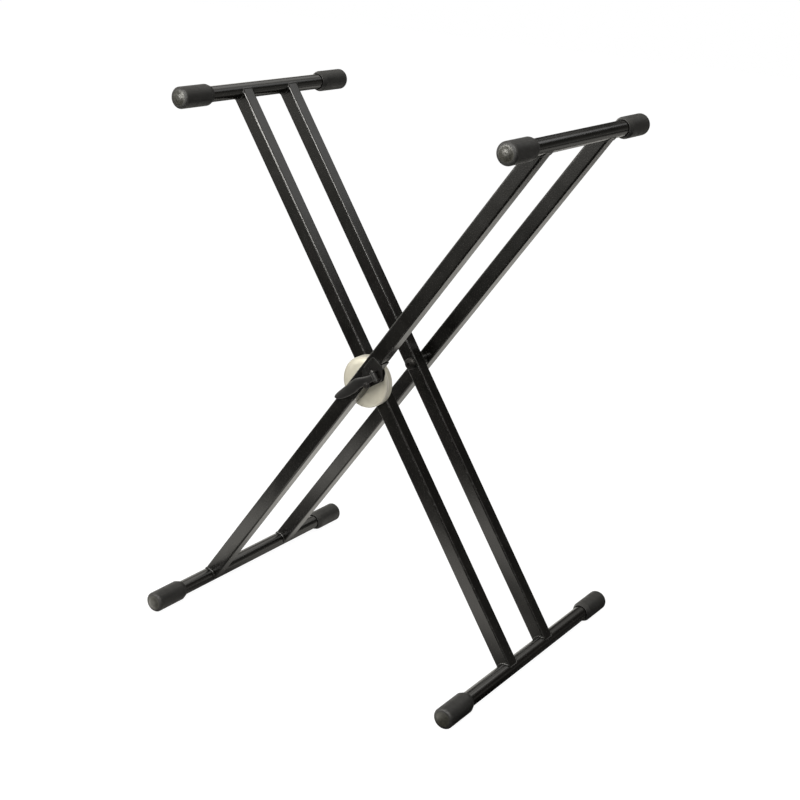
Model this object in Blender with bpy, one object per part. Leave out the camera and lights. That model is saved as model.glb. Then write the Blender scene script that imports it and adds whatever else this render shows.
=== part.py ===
"""Double-braced X keyboard stand: two welded tube frames crossing on one axis,
locked by a pair of clutch discs with a spring-loaded pin and a trigger lever.

Metres, +Z up. The stand rests on z = 0 with its pivot axis parallel to Y over the origin.
Pieces of a frame are placed in that frame's own axes: Z runs up its legs, Y across the stand.
"""
import math

import bmesh
import bpy
from mathutils import Euler, Matrix, Vector

# Frames
LEG_HALF = 0.519             # pivot axis to bar axis, along a leg
LEG_ANGLE = math.radians(55.5)   # leg above the floor in the setting shown
LEG_SIZE = 0.025             # square tube, across its flats
LEG_CORNER = 0.003
LEG_WALL = 0.0015
INNER_SPREAD = 0.0595        # mid-plane to the axis of an inner leg
HUB_GAP = 0.0212             # between the near outer and near inner leg
FAR_GAP = 0.0127             # between the far inner and far outer leg

# Bars and their rubber caps
BAR_RADIUS = 0.0127
BAR_WALL = 0.0015
TOP_BAR_HALF = 0.216         # mid-plane to the outer end of a cap
FOOT_BAR_HALF = 0.264
CAP_RADIUS = 0.01735
CAP_LENGTH = 0.072
CAP_END_WALL = 0.006
CAP_DOME = 0.0012            # crown of the outer end
CAP_EDGE = 0.0035            # rounding of the outer end
CAP_TAPER = 0.008            # length of the tapered inner end
CAP_LIP = 0.0016             # thickness of the rubber at its mouth
CAP_SIDES = 24               # even, with a flat side turned to the floor

# Clutch discs
DISC_RADIUS = 0.043
DISC_WALL = 0.0025
DISC_FLAT_RADIUS = 0.029     # flat seat in the middle of the domed front disc
DISC_SHOULDER = 0.8          # share of its depth over which the front disc is domed
DISC_STEPS = 40
FRONT_DISC_DEPTH = 0.0092
REAR_DISC_EDGE = 0.002
HUB_BOSS_RADIUS = 0.012
CLUTCH_WASHER_RADIUS = 0.016
CLUTCH_WASHER_THICK = 0.0015
LOCK_STEP = math.radians(15.5)   # angle between two height settings
LOCK_SETTINGS = (1, 0, -1, -2, -3)   # settings above (+) and below (-) the one shown

# Pivot hardware
BOLT_RADIUS = 0.005
BOLT_HEAD_RADIUS = 0.010
BOLT_HEAD_HEIGHT = 0.0046
BOLT_TIP = 0.0015            # bolt end past its nut
WASHER_RADIUS = 0.0105
WASHER_THICK = 0.002
NUT_FLATS = 0.017
NUT_HEX_HEIGHT = 0.0065
NUT_COLLAR_HEIGHT = 0.003
NUT_COLLAR_RADIUS = 0.0074
SPACER_RADIUS = 0.011

# Trigger lever, in the outer frame's axes: x to the leg's lower side, z up the leg
HINGE_AHEAD = 0.001          # hinge past the lock pin, away from the leg
HINGE_RISE = 0.022           # hinge above the lock pin
TAB_TIP_X = -0.0105
TAB_TIP_Z = -0.0325
LEVER_THICK = 0.004
LEVER_STANDOFF = 0.008       # leg face to the lever's back
LEVER_BOW = 0.003            # how far the finger tab curves away from the leg
LEVER_BARREL_RADIUS = 0.0042
LEVER_BARREL_HALF = 0.0055
LUG_RADIUS = 0.0052
LUG_HOLE_RADIUS = 0.003
# share of the lever's length, half width below and above its centre line
LEVER_WIDTHS = (
    (-0.05, 0.0045, 0.0045),
    (0.12, 0.0058, 0.0058),
    (0.27, 0.0064, 0.0086),
    (0.41, 0.0060, 0.0112),
    (0.55, 0.0081, 0.0094),
    (0.71, 0.0090, 0.0079),
    (0.87, 0.0075, 0.0056),
    (0.95, 0.0052, 0.0038),
    (0.985, 0.0030, 0.0022),
    (1.00, 0.0012, 0.0010),
)

# Bracket, lock pin and spring
PLATE = 0.0025               # bracket steel
SADDLE = 0.0012              # its wall down the leg's side
SADDLE_DROP = 0.020          # that wall below the pivot axis
PIN_SHARE = 0.78             # radius of the ring of lock holes, as a share of the disc's
PIN_RADIUS = 0.0025
PIN_NECK_RADIUS = 0.0019
PIN_HEAD_RADIUS = 0.0042
PIN_HEAD_EDGE = 0.0012
PIN_HEAD_CONE = math.radians(20)   # underside, so that the tilted lug can lift it
PIN_SHORT = 0.0009           # pin tip to the rear disc, see the clearances
BRACKET_LAP = 0.018          # how far the front plate lies over the leg's near face
BRACKET_RISE = 0.018         # front plate above the hinge
BRACKET_CORNER = 0.005
BRACKET_DISC_GAP = 0.0011
EAR_THICK = 0.0022
EAR_RADIUS = 0.005
HINGE_PIN_RADIUS = 0.002
HINGE_HEAD_RADIUS = 0.0034
HINGE_HEAD_THICK = 0.0012
CLIP_RADIUS = 0.0036
CLIP_THICK = 0.0008
COLLAR_RADIUS = 0.0042
COLLAR_THICK = 0.0015
SPRING_RADIUS = 0.0035       # to the middle of the wire
SPRING_WIRE = 0.0005
SPRING_TURNS = 7
SPRING_POINTS = 9            # points on each turn

# Clearances
FIT = 0.0003                 # between pieces that touch
BORE_FIT = 0.0003            # round a bolt or pin, on the radius

# Worked out from the above
LEAN = math.pi / 2 - LEG_ANGLE
HALF = LEG_SIZE / 2
CAP_REST = CAP_RADIUS * math.cos(math.pi / CAP_SIDES)
PIVOT_Z = CAP_REST + LEG_HALF * math.sin(LEG_ANGLE)
INNER_NEAR_Y = -INNER_SPREAD
INNER_FAR_Y = INNER_SPREAD
OUTER_NEAR_Y = INNER_NEAR_Y - LEG_SIZE - HUB_GAP
OUTER_FAR_Y = INNER_FAR_Y + LEG_SIZE + FAR_GAP
LEG_FACE_Y = OUTER_NEAR_Y - HALF             # near face of the near outer leg
FRONT_DISC_Y = OUTER_NEAR_Y + HALF + FIT     # flat face of the front disc
REAR_DISC_Y = FRONT_DISC_Y + FRONT_DISC_DEPTH + FIT
REAR_DISC_DEPTH = INNER_NEAR_Y - HALF - FIT - REAR_DISC_Y
PIN_X = HALF + 2 * FIT + SADDLE + COLLAR_RADIUS
PIN_Z = math.sqrt((PIN_SHARE * DISC_RADIUS) ** 2 - PIN_X ** 2)
HINGE_X = PIN_X + HINGE_AHEAD
HINGE_Z = PIN_Z + HINGE_RISE
HINGE_Y = LEG_FACE_Y - LEVER_STANDOFF - LEVER_THICK / 2
LEVER_LENGTH = math.hypot(TAB_TIP_X - HINGE_X, TAB_TIP_Z - HINGE_Z)
FRONT_PLATE_Y = LEG_FACE_Y - FIT             # back of the bracket's front plate
REAR_FLANGE_Y = FRONT_DISC_Y - BRACKET_DISC_GAP


def clear_scene():
    """Remove everything that is in the file."""
    for thing in list(bpy.data.objects):
        bpy.data.objects.remove(thing, do_unlink=True)
    for group in list(bpy.data.collections):
        bpy.data.collections.remove(group)


def new_collection(name):
    group = bpy.data.collections.new(name)
    bpy.context.scene.collection.children.link(group)
    return group


clear_scene()
STAND = new_collection("keyboard_stand")
CUTTERS = new_collection("cutters")


def paint(name, color, roughness, metallic):
    """A plain surface with the given colour and shine."""
    surface = bpy.data.materials.new(name)
    surface.use_nodes = True
    shader = surface.node_tree.nodes["Principled BSDF"]
    shader.inputs["Base Color"].default_value = (*color, 1.0)
    shader.inputs["Roughness"].default_value = roughness
    shader.inputs["Metallic"].default_value = metallic
    surface.diffuse_color = (*color, 1.0)
    return surface


FINISHES = {
    "black_enamel": ((0.012, 0.012, 0.013), 0.32, 0.0),
    "rubber": ((0.022, 0.021, 0.021), 0.75, 0.0),
    "nickel": ((0.62, 0.60, 0.55), 0.30, 1.0),
    "black_zinc": ((0.035, 0.035, 0.037), 0.42, 1.0),
    "nylon": ((0.70, 0.69, 0.64), 0.55, 0.0),
    "lever_paint": ((0.018, 0.018, 0.019), 0.42, 0.0),
    "spring_steel": ((0.45, 0.45, 0.46), 0.35, 1.0),
}


def empty(name, location, parent=None, axes=None):
    """An axis marker that carries the pieces of a frame or of a moving part."""
    marker = bpy.data.objects.new(name, None)
    marker.empty_display_size = 0.02
    STAND.objects.link(marker)
    marker.parent = parent
    marker.location = location
    if axes is not None:
        marker.rotation_euler = axes
    return marker


def add_piece(name, mesh, finish, parent, location=(0, 0, 0), rotation=(0, 0, 0)):
    """Put a mesh in the stand as one of its pieces, with a material of its own."""
    piece = bpy.data.objects.new(name, mesh)
    STAND.objects.link(piece)
    mesh.materials.clear()
    mesh.materials.append(paint(name, *FINISHES[finish]))
    piece.parent = parent
    piece.location = location
    piece.rotation_euler = rotation
    return piece


def add_cutter(name, mesh, parent, location=(0, 0, 0), rotation=(0, 0, 0)):
    """A hidden tool body for a Boolean."""
    cutter = bpy.data.objects.new(name, mesh)
    CUTTERS.objects.link(cutter)
    cutter.hide_render = True
    cutter.display_type = "WIRE"
    cutter.parent = parent
    cutter.location = location
    cutter.rotation_euler = rotation
    return cutter


def boolean(piece, operation, *tools):
    for tool in tools:
        step = piece.modifiers.new(tool.name, "BOOLEAN")
        step.operation = operation
        step.object = tool


def smooth(mesh, angle=32):
    mesh.shade_smooth()
    mesh.set_sharp_from_angle(angle=math.radians(angle))


def cylinder_mesh(name, radius, length, sides=24, start=0.0):
    """A cylinder along Z, centred, its first corner turned by the start angle."""
    mesh = bpy.data.meshes.new(name)
    work = bmesh.new()
    bmesh.ops.create_cone(work, cap_ends=True, segments=sides, radius1=radius, radius2=radius, depth=length)
    bmesh.ops.rotate(work, cent=(0, 0, 0), matrix=Matrix.Rotation(start, 3, "Z"), verts=work.verts)
    work.to_mesh(mesh)
    work.free()
    smooth(mesh)
    return mesh


def box_mesh(name, low, high):
    """A box between two corners."""
    low, high = Vector(low), Vector(high)
    mesh = bpy.data.meshes.new(name)
    work = bmesh.new()
    bmesh.ops.create_cube(work, size=1.0)
    bmesh.ops.scale(work, vec=high - low, verts=work.verts)
    bmesh.ops.translate(work, vec=(low + high) / 2, verts=work.verts)
    work.to_mesh(mesh)
    work.free()
    return mesh


def turned_mesh(name, profile, steps=32):
    """Turn a closed (radius, height) profile about Z. It runs down its outer side."""
    mesh = bpy.data.meshes.new(name)
    work = bmesh.new()
    ring = [work.verts.new((radius, 0, height)) for radius, height in profile]
    open_at_axis = profile[0][0] == 0 and profile[-1][0] == 0
    for first, second in zip(ring, ring[1:] + ring[:1]):
        if not (open_at_axis and first is ring[-1]):
            work.edges.new((first, second))
    bmesh.ops.spin(
        work, geom=work.verts[:] + work.edges[:], cent=(0, 0, 0), axis=(0, 0, 1),
        angle=math.tau, steps=steps, use_merge=True,
    )
    bmesh.ops.remove_doubles(work, verts=work.verts, dist=1e-6)
    bmesh.ops.recalc_face_normals(work, faces=work.faces)
    work.to_mesh(mesh)
    work.free()
    smooth(mesh)
    return mesh


def arc(centre, radius, start, end, steps):
    """Points on an arc in a plane. radius is one value or one for each axis."""
    wide, tall = radius if isinstance(radius, tuple) else (radius, radius)
    points = []
    for step in range(steps + 1):
        angle = math.radians(start + (end - start) * step / steps)
        points.append((centre[0] + wide * math.cos(angle), centre[1] + tall * math.sin(angle)))
    return points


def rounded_outline(corners, radius, steps=4):
    """Round the corners of a polygon, each with an arc that touches both its sides."""
    points = []
    count = len(corners)
    for index, corner in enumerate(corners):
        here = Vector(corner)
        back = (Vector(corners[index - 1]) - here).normalized()
        ahead = (Vector(corners[(index + 1) % count]) - here).normalized()
        half_angle = back.angle(ahead) / 2
        reach = radius / math.tan(half_angle)
        centre = here + (back + ahead).normalized() * radius / math.sin(half_angle)
        start = here + back * reach - centre
        end = here + ahead * reach - centre
        sweep = start.angle_signed(end)
        for step in range(steps + 1):
            spoke = start.copy()
            spoke.rotate(Matrix.Rotation(-sweep * step / steps, 2))
            points.append(tuple(centre + spoke))
    return points


def square_outline(size, corner):
    half = size / 2
    return rounded_outline([(half, half), (-half, half), (-half, -half), (half, -half)], corner, 3)


def circle_outline(radius, sides):
    turns = [math.tau * index / sides for index in range(sides)]
    return [(radius * math.cos(turn), radius * math.sin(turn)) for turn in turns]


def extruded_mesh(name, outlines, depth):
    """Extrude flat outlines along Z, centred. Outlines inside the first one are holes."""
    curve = bpy.data.curves.new(name, "CURVE")
    curve.dimensions = "2D"
    curve.fill_mode = "BOTH"
    curve.extrude = depth / 2
    for outline in outlines:
        spline = curve.splines.new("POLY")
        spline.points.add(len(outline) - 1)
        for point, (across, up) in zip(spline.points, outline):
            point.co = (across, up, 0, 1)
        spline.use_cyclic_u = True
    return curve_to_mesh(name, curve)


def curve_to_mesh(name, curve):
    """Turn a curve into a closed mesh and remove the curve."""
    holder = bpy.data.objects.new(name, curve)
    STAND.objects.link(holder)
    view = bpy.context.evaluated_depsgraph_get()
    mesh = bpy.data.meshes.new_from_object(holder.evaluated_get(view))
    bpy.data.objects.remove(holder)
    bpy.data.curves.remove(curve)
    work = bmesh.new()
    work.from_mesh(mesh)
    bmesh.ops.remove_doubles(work, verts=work.verts, dist=1e-6)
    bmesh.ops.recalc_face_normals(work, faces=work.faces)
    work.to_mesh(mesh)
    work.free()
    mesh.name = name
    smooth(mesh)
    return mesh


ACROSS = (math.radians(-90), 0, 0)      # turns a piece made along Z to run along +Y

OUTER = empty("outer_frame_axis", (0, 0, PIVOT_Z), axes=(0, LEAN, 0))
INNER = empty("inner_frame_axis", (0, 0, PIVOT_Z), axes=(0, -LEAN, 0))


# Leg frames

def bar(name, frame, height, half_length):
    """A round tube across the frame. Its ends stop inside the rubber caps."""
    length = 2 * (half_length - CAP_END_WALL - FIT)
    outlines = [circle_outline(BAR_RADIUS, 32), circle_outline(BAR_RADIUS - BAR_WALL, 32)]
    mesh = extruded_mesh(name, outlines, length)
    return add_piece(name, mesh, "black_enamel", frame, (0, 0, height), ACROSS)


def leg(name, frame, y):
    """A square tube whose ends are coped to saddle the bars, drilled at the pivot."""
    outlines = [
        square_outline(LEG_SIZE, LEG_CORNER),
        square_outline(LEG_SIZE - 2 * LEG_WALL, LEG_CORNER - LEG_WALL),
    ]
    piece = add_piece(name, extruded_mesh(name, outlines, 2 * LEG_HALF), "black_enamel", frame, (0, y, 0))
    cuts = []
    for height in (LEG_HALF, -LEG_HALF):
        cope = cylinder_mesh("cope", BAR_RADIUS + FIT, 2 * LEG_SIZE, 48)
        cuts.append(add_cutter(name + "_cope", cope, frame, (0, y, height), ACROSS))
    drill = cylinder_mesh("drill", BOLT_RADIUS + BORE_FIT, 2 * LEG_SIZE)
    cuts.append(add_cutter(name + "_drill", drill, frame, (0, y, 0), ACROSS))
    boolean(piece, "DIFFERENCE", *cuts)
    return piece


def cap_profile():
    """Rubber cup, open end up, with a crowned closed end and a tapered mouth."""
    bore = BAR_RADIUS + FIT
    outer = [(0, CAP_LENGTH - CAP_END_WALL), (bore, CAP_LENGTH - CAP_END_WALL), (bore, 0)]
    mouth = [(bore + CAP_LIP, 0), (CAP_RADIUS, CAP_TAPER)]
    edge = arc((CAP_RADIUS - CAP_EDGE, CAP_LENGTH - CAP_DOME - CAP_EDGE), CAP_EDGE, 0, 80, 4)
    return outer + mouth + edge + [(0, CAP_LENGTH)]


def cap(name, frame, height, side, half_length):
    """A rubber cap on one end of a bar. It is turned so that a flat side faces down."""
    mesh = turned_mesh(name, cap_profile(), CAP_SIDES)
    mesh.transform(Matrix.Rotation(math.pi / 2 + math.pi / CAP_SIDES, 4, "Z"))
    level = -frame.rotation_euler.y
    turn = Euler((math.radians(-90) * side, 0, 0)).to_matrix()
    turn = Euler((0, level, 0)).to_matrix() @ turn
    place = (0, side * (half_length - CAP_LENGTH), height)
    return add_piece(name, mesh, "rubber", frame, place, turn.to_euler())


def build_frame(prefix, frame, near_y, far_y):
    leg(prefix + "_leg_near", frame, near_y)
    leg(prefix + "_leg_far", frame, far_y)
    for place, height, half_length in (("top", LEG_HALF, TOP_BAR_HALF), ("foot", -LEG_HALF, FOOT_BAR_HALF)):
        bar(prefix + "_" + place + "_bar", frame, height, half_length)
        cap(prefix + "_" + place + "_cap_near", frame, height, -1, half_length)
        cap(prefix + "_" + place + "_cap_far", frame, height, 1, half_length)


build_frame("outer", OUTER, OUTER_NEAR_Y, OUTER_FAR_Y)
build_frame("inner", INNER, INNER_NEAR_Y, INNER_FAR_Y)


# Clutch discs

def pin_hole(name, frame, y, depth, turn=0.0):
    """A hole for the lock pin, turned about the pivot axis from where the pin stands."""
    mesh = cylinder_mesh("pin_hole", PIN_RADIUS + BORE_FIT, depth, 16)
    place = Matrix.Rotation(-turn, 3, "Y") @ Vector((PIN_X, 0, PIN_Z))
    return add_cutter(name, mesh, frame, (place.x, y, place.z), ACROSS)


def front_disc():
    """Domed dish: flat where the leg is welded to it, open towards the rear disc."""
    bore = BOLT_RADIUS + BORE_FIT
    depth = FRONT_DISC_DEPTH
    inside = DISC_RADIUS - DISC_WALL
    boss_end = depth - CLUTCH_WASHER_THICK - FIT
    shoulder = DISC_SHOULDER * depth
    dome = arc((DISC_FLAT_RADIUS, shoulder), (DISC_RADIUS - DISC_FLAT_RADIUS, shoulder), -90, 0, 6)
    lining = arc(
        (DISC_FLAT_RADIUS, shoulder),
        (inside - DISC_FLAT_RADIUS, shoulder - DISC_WALL), 0, -90, 4,
    )
    profile = [(bore, boss_end), (bore, 0)] + dome + [(DISC_RADIUS, depth), (inside, depth)] + lining
    profile += [(HUB_BOSS_RADIUS, DISC_WALL), (HUB_BOSS_RADIUS, boss_end)]
    mesh = turned_mesh("front_clutch_disc", profile, DISC_STEPS)
    disc = add_piece("front_clutch_disc", mesh, "nickel", OUTER, (0, FRONT_DISC_Y, 0), ACROSS)
    boolean(disc, "DIFFERENCE", pin_hole("front_disc_hole", OUTER, FRONT_DISC_Y, DISC_RADIUS))
    return disc


def rear_disc():
    """Straight-sided dish with its face to the front disc and the ring of lock holes."""
    bore = BOLT_RADIUS + BORE_FIT
    inside = DISC_RADIUS - DISC_WALL
    edge = arc((DISC_RADIUS - REAR_DISC_EDGE, REAR_DISC_EDGE), REAR_DISC_EDGE, -90, 0, 3)
    profile = [(bore, REAR_DISC_DEPTH), (bore, 0)] + edge
    profile += [(DISC_RADIUS, REAR_DISC_DEPTH), (inside, REAR_DISC_DEPTH), (inside, DISC_WALL)]
    profile += [(HUB_BOSS_RADIUS, DISC_WALL), (HUB_BOSS_RADIUS, REAR_DISC_DEPTH)]
    mesh = turned_mesh("rear_clutch_disc", profile, DISC_STEPS)
    disc = add_piece("rear_clutch_disc", mesh, "nickel", INNER, (0, REAR_DISC_Y, 0), ACROSS)
    upright = 2 * LEAN      # the inner frame leans the other way
    for setting in LOCK_SETTINGS:
        turn = setting * LOCK_STEP - upright
        hole = pin_hole("rear_disc_hole", INNER, REAR_DISC_Y, 4 * DISC_WALL, turn)
        boolean(disc, "DIFFERENCE", hole)
    return disc


def ring_mesh(name, radius, hole, thick, steps=32):
    return turned_mesh(name, [(hole, thick), (hole, 0), (radius, 0), (radius, thick)], steps)


def clutch_washer():
    y = REAR_DISC_Y - FIT - CLUTCH_WASHER_THICK
    mesh = ring_mesh("clutch_washer", CLUTCH_WASHER_RADIUS, BOLT_RADIUS + BORE_FIT, CLUTCH_WASHER_THICK)
    return add_piece("clutch_washer", mesh, "nylon", INNER, (0, y, 0), ACROSS)


front_disc()
rear_disc()
clutch_washer()


# Pivot bolts

def pivot_hardware(name, head_face, nut_face):
    """A bolt through one outer and one inner leg, its head towards the lever's side."""
    hole = BOLT_RADIUS + BORE_FIT
    head_under = head_face - 2 * FIT - WASHER_THICK
    nut_under = nut_face + 2 * FIT + WASHER_THICK
    nut_height = NUT_HEX_HEIGHT + NUT_COLLAR_HEIGHT
    shank = nut_under - head_under + nut_height + BOLT_TIP
    crown = arc((0, 0), (BOLT_HEAD_RADIUS, -BOLT_HEAD_HEIGHT), 90, 0, 6)
    profile = crown + [(BOLT_RADIUS, 0), (BOLT_RADIUS, shank - 0.001), (BOLT_RADIUS - 0.001, shank), (0, shank)]
    profile[0] = (0, -BOLT_HEAD_HEIGHT)
    bolt = turned_mesh(name + "_pivot_bolt", profile, 24)
    add_piece(name + "_pivot_bolt", bolt, "black_zinc", OUTER, (0, head_under, 0), ACROSS)
    for place, start in (("head", head_face - FIT - WASHER_THICK), ("nut", nut_face + FIT)):
        mesh = ring_mesh(name + "_washer", WASHER_RADIUS, hole, WASHER_THICK, 24)
        add_piece(name + "_" + place + "_washer", mesh, "black_zinc", OUTER, (0, start, 0), ACROSS)
    hexagon = cylinder_mesh(name + "_lock_nut", NUT_FLATS / math.sqrt(3), NUT_HEX_HEIGHT, 6)
    centre = nut_under + NUT_HEX_HEIGHT / 2
    nut = add_piece(name + "_lock_nut", hexagon, "black_zinc", OUTER, (0, centre, 0), ACROSS)
    collar = cylinder_mesh("collar", NUT_COLLAR_RADIUS, 2 * NUT_COLLAR_HEIGHT)
    collar_at = nut_under + NUT_HEX_HEIGHT
    boolean(nut, "UNION", add_cutter(name + "_nut_collar", collar, OUTER, (0, collar_at, 0), ACROSS))
    bore = cylinder_mesh("nut_bore", hole, 4 * nut_height)
    boolean(nut, "DIFFERENCE", add_cutter(name + "_nut_bore", bore, OUTER, (0, centre, 0), ACROSS))


def far_spacer():
    y = INNER_FAR_Y + HALF + FIT
    thick = FAR_GAP - 2 * FIT
    mesh = ring_mesh("far_spacer", SPACER_RADIUS, BOLT_RADIUS + BORE_FIT, thick)
    return add_piece("far_spacer", mesh, "black_enamel", OUTER, (0, y, 0), ACROSS)


pivot_hardware("near", OUTER_NEAR_Y - HALF, INNER_NEAR_Y + HALF)
pivot_hardware("far", INNER_FAR_Y - HALF, OUTER_FAR_Y + HALF)
far_spacer()


# Trigger lever. Its own axes: x from the hinge to the tip, y away from the leg, z along the hinge.

def lever_axes():
    along = Vector((TAB_TIP_X - HINGE_X, 0, TAB_TIP_Z - HINGE_Z)).normalized()
    outward = Vector((0, -1, 0))
    hinge = along.cross(outward)
    return Matrix((along, outward, hinge)).transposed()


LEVER_TURN = lever_axes()
LEVER = empty("lever_axis", (HINGE_X, HINGE_Y, HINGE_Z), OUTER, LEVER_TURN.to_euler())
PIN_IN_LEVER = LEVER_TURN.transposed() @ Vector((PIN_X - HINGE_X, 0, PIN_Z - HINGE_Z))


def eased(table, place):
    """Read a row of half widths between two stations of the lever, eased at each."""
    for before, after in zip(table, table[1:]):
        if place <= after[0]:
            share = (place - before[0]) / (after[0] - before[0])
            return [low + (high - low) * share for low, high in zip(before[1:], after[1:])]
    return table[-1][1:]


def leaf_mesh(name):
    """The lever's blade: rounded cross-sections along it, bowed away from the leg."""
    sides = 16
    first = LEVER_WIDTHS[0][0]
    stations = 24
    mesh = bpy.data.meshes.new(name)
    work = bmesh.new()
    rings = []
    for station in range(stations + 1):
        place = first + (1 - first) * station / stations
        below, above = eased(LEVER_WIDTHS, place)
        middle = (above - below) / 2
        wide = (above + below) / 2
        thick = LEVER_THICK / 2 * min(1.0, 0.45 + wide / 0.008)
        bow = LEVER_BOW * max(0.0, (place - 0.5) * 2) ** 2
        ring = []
        for side in range(sides):
            angle = math.tau * (side + 0.5) / sides
            across = math.copysign(abs(math.cos(angle)) ** 0.6, math.cos(angle))
            out = math.copysign(abs(math.sin(angle)) ** 0.4, math.sin(angle))
            ring.append(work.verts.new((place * LEVER_LENGTH, bow + thick * out, middle + wide * across)))
        rings.append(ring)
    for one, two in zip(rings, rings[1:]):
        for side in range(sides):
            after = (side + 1) % sides
            work.faces.new((one[side], one[after], two[after], two[side]))
    work.faces.new(rings[0])
    work.faces.new(rings[-1])
    bmesh.ops.recalc_face_normals(work, faces=work.faces)
    work.to_mesh(mesh)
    work.free()
    smooth(mesh, 50)
    return mesh


def lock_lever():
    """Blade with a hinge barrel at one end and a lug that lifts the lock pin."""
    blade = add_piece("lock_lever", leaf_mesh("lock_lever"), "lever_paint", LEVER)
    barrel = cylinder_mesh("barrel", LEVER_BARREL_RADIUS, 2 * LEVER_BARREL_HALF, 20)
    lug = cylinder_mesh("lug", LUG_RADIUS, LEVER_THICK, 20)
    flat = (math.radians(90), 0, 0)
    boolean(
        blade, "UNION",
        add_cutter("lever_barrel", barrel, LEVER),
        add_cutter("lever_lug", lug, LEVER, PIN_IN_LEVER, flat),
    )
    hinge_hole = cylinder_mesh("hinge_hole", HINGE_PIN_RADIUS + BORE_FIT, 4 * LEVER_BARREL_HALF, 16)
    lug_hole = cylinder_mesh("lug_hole", LUG_HOLE_RADIUS, 3 * LEVER_THICK, 16)
    boolean(
        blade, "DIFFERENCE",
        add_cutter("lever_hinge_hole", hinge_hole, LEVER),
        add_cutter("lever_lug_hole", lug_hole, LEVER, PIN_IN_LEVER, flat),
    )
    return blade


lock_lever()


# Bracket, hinge pin, lock pin and spring

def plate_mesh(name, corners, thick):
    """A flat plate in the frame's x-z plane, rounded at its corners."""
    outline = rounded_outline(corners, BRACKET_CORNER)
    mesh = extruded_mesh(name, [outline], thick)
    mesh.transform(Matrix.Rotation(math.radians(90), 4, "X"))
    return mesh


def lock_bracket():
    """Saddle on the near outer leg: front plate over its face, wall down its side, rear flange."""
    side = HALF + FIT
    left = HALF - BRACKET_LAP
    top = HINGE_Z + BRACKET_RISE
    front = [
        (PIN_X + 0.003, PIN_Z - 0.0055), (HINGE_X + 0.0105, HINGE_Z - 0.006), (HINGE_X + 0.0105, HINGE_Z + 0.002),
        (HINGE_X - 0.0035, top), (left, top), (left, PIN_Z + 0.007), (side, PIN_Z - 0.013),
    ]
    rear = [
        (PIN_X + 0.002, PIN_Z - 0.006), (PIN_X + 0.007, PIN_Z + 0.0055), (PIN_X + 0.0015, PIN_Z + 0.018),
        (side - BRACKET_CORNER, PIN_Z + 0.028), (side - BRACKET_CORNER, PIN_Z - 0.010),
    ]
    front_y = FRONT_PLATE_Y - PLATE / 2
    piece = add_piece("lock_bracket", plate_mesh("lock_bracket", front, PLATE), "black_enamel", OUTER,
                      (0, front_y, 0))
    rear_y = REAR_FLANGE_Y - PLATE / 2
    flange = add_cutter("bracket_flange", plate_mesh("flange", rear, PLATE), OUTER, (0, rear_y, 0))
    wall = add_cutter("bracket_wall", box_mesh(
        "wall", (side, front_y, -SADDLE_DROP), (side + SADDLE, rear_y, top - SADDLE)), OUTER)
    ears = []
    ear_height = FRONT_PLATE_Y - PLATE / 2 - HINGE_Y
    for sign in (-1, 1):
        round_end = cylinder_mesh("ear", EAR_RADIUS, EAR_THICK, 20)
        stem = box_mesh("ear_stem", (-EAR_RADIUS, -ear_height, -EAR_THICK / 2), (EAR_RADIUS, 0, EAR_THICK / 2))
        at = (0, 0, sign * (LEVER_BARREL_HALF + FIT + EAR_THICK / 2))
        ears.append(add_cutter("ear_round", round_end, LEVER, at))
        ears.append(add_cutter("ear_stem", stem, LEVER, at))
    boolean(piece, "UNION", flange, wall, *ears)
    leg_side = box_mesh("leg_side", (side - 2 * BRACKET_CORNER, FRONT_PLATE_Y, -2 * SADDLE_DROP),
                        (side, REAR_FLANGE_Y + PLATE, 2 * top))
    hinge_hole = cylinder_mesh("hinge_hole", HINGE_PIN_RADIUS + BORE_FIT, 8 * LEVER_BARREL_HALF, 16)
    boolean(
        piece, "DIFFERENCE",
        add_cutter("bracket_leg_side", leg_side, OUTER),
        add_cutter("bracket_hinge_hole", hinge_hole, LEVER),
        pin_hole("bracket_pin_hole", OUTER, (front_y + rear_y) / 2, 2 * (rear_y - front_y)),
    )
    return piece


def hinge_pin():
    """Headed pin through the ears and the lever's barrel, kept by a clip."""
    outside = LEVER_BARREL_HALF + FIT + EAR_THICK + FIT
    tail = outside + CLIP_THICK + HINGE_HEAD_THICK
    profile = [
        (0, tail), (HINGE_PIN_RADIUS, tail), (HINGE_PIN_RADIUS, -outside), (HINGE_HEAD_RADIUS, -outside),
        (HINGE_HEAD_RADIUS, -outside - HINGE_HEAD_THICK), (0, -outside - HINGE_HEAD_THICK),
    ]
    add_piece("lever_hinge_pin", turned_mesh("lever_hinge_pin", profile, 16), "black_zinc", LEVER)
    clip = ring_mesh("hinge_pin_clip", CLIP_RADIUS, HINGE_PIN_RADIUS + BORE_FIT, CLIP_THICK, 16)
    add_piece("hinge_pin_clip", clip, "spring_steel", LEVER, (0, 0, outside))


def lock_pin():
    """Plunger along Y: plain tip, a neck through the lever's lug and a head beyond it."""
    tip = REAR_DISC_Y - PIN_SHORT
    shoulder = HINGE_Y + LEVER_THICK / 2 + 2 * FIT
    under = HINGE_Y - LEVER_THICK / 2 - FIT
    cone = (PIN_HEAD_RADIUS - PIN_NECK_RADIUS) * math.tan(PIN_HEAD_CONE)
    profile = [
        (0, 0), (PIN_RADIUS - 0.0008, 0), (PIN_RADIUS, -0.0008), (PIN_RADIUS, shoulder - tip),
        (PIN_NECK_RADIUS, shoulder - tip), (PIN_NECK_RADIUS, under - tip),
        (PIN_HEAD_RADIUS, under - cone - tip), (PIN_HEAD_RADIUS, under - cone - PIN_HEAD_EDGE - tip),
        (0, under - cone - 1.5 * PIN_HEAD_EDGE - tip),
    ]
    mesh = turned_mesh("lock_pin", profile, 20)
    return add_piece("lock_pin", mesh, "black_zinc", OUTER, (PIN_X, tip, PIN_Z), ACROSS)


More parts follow.
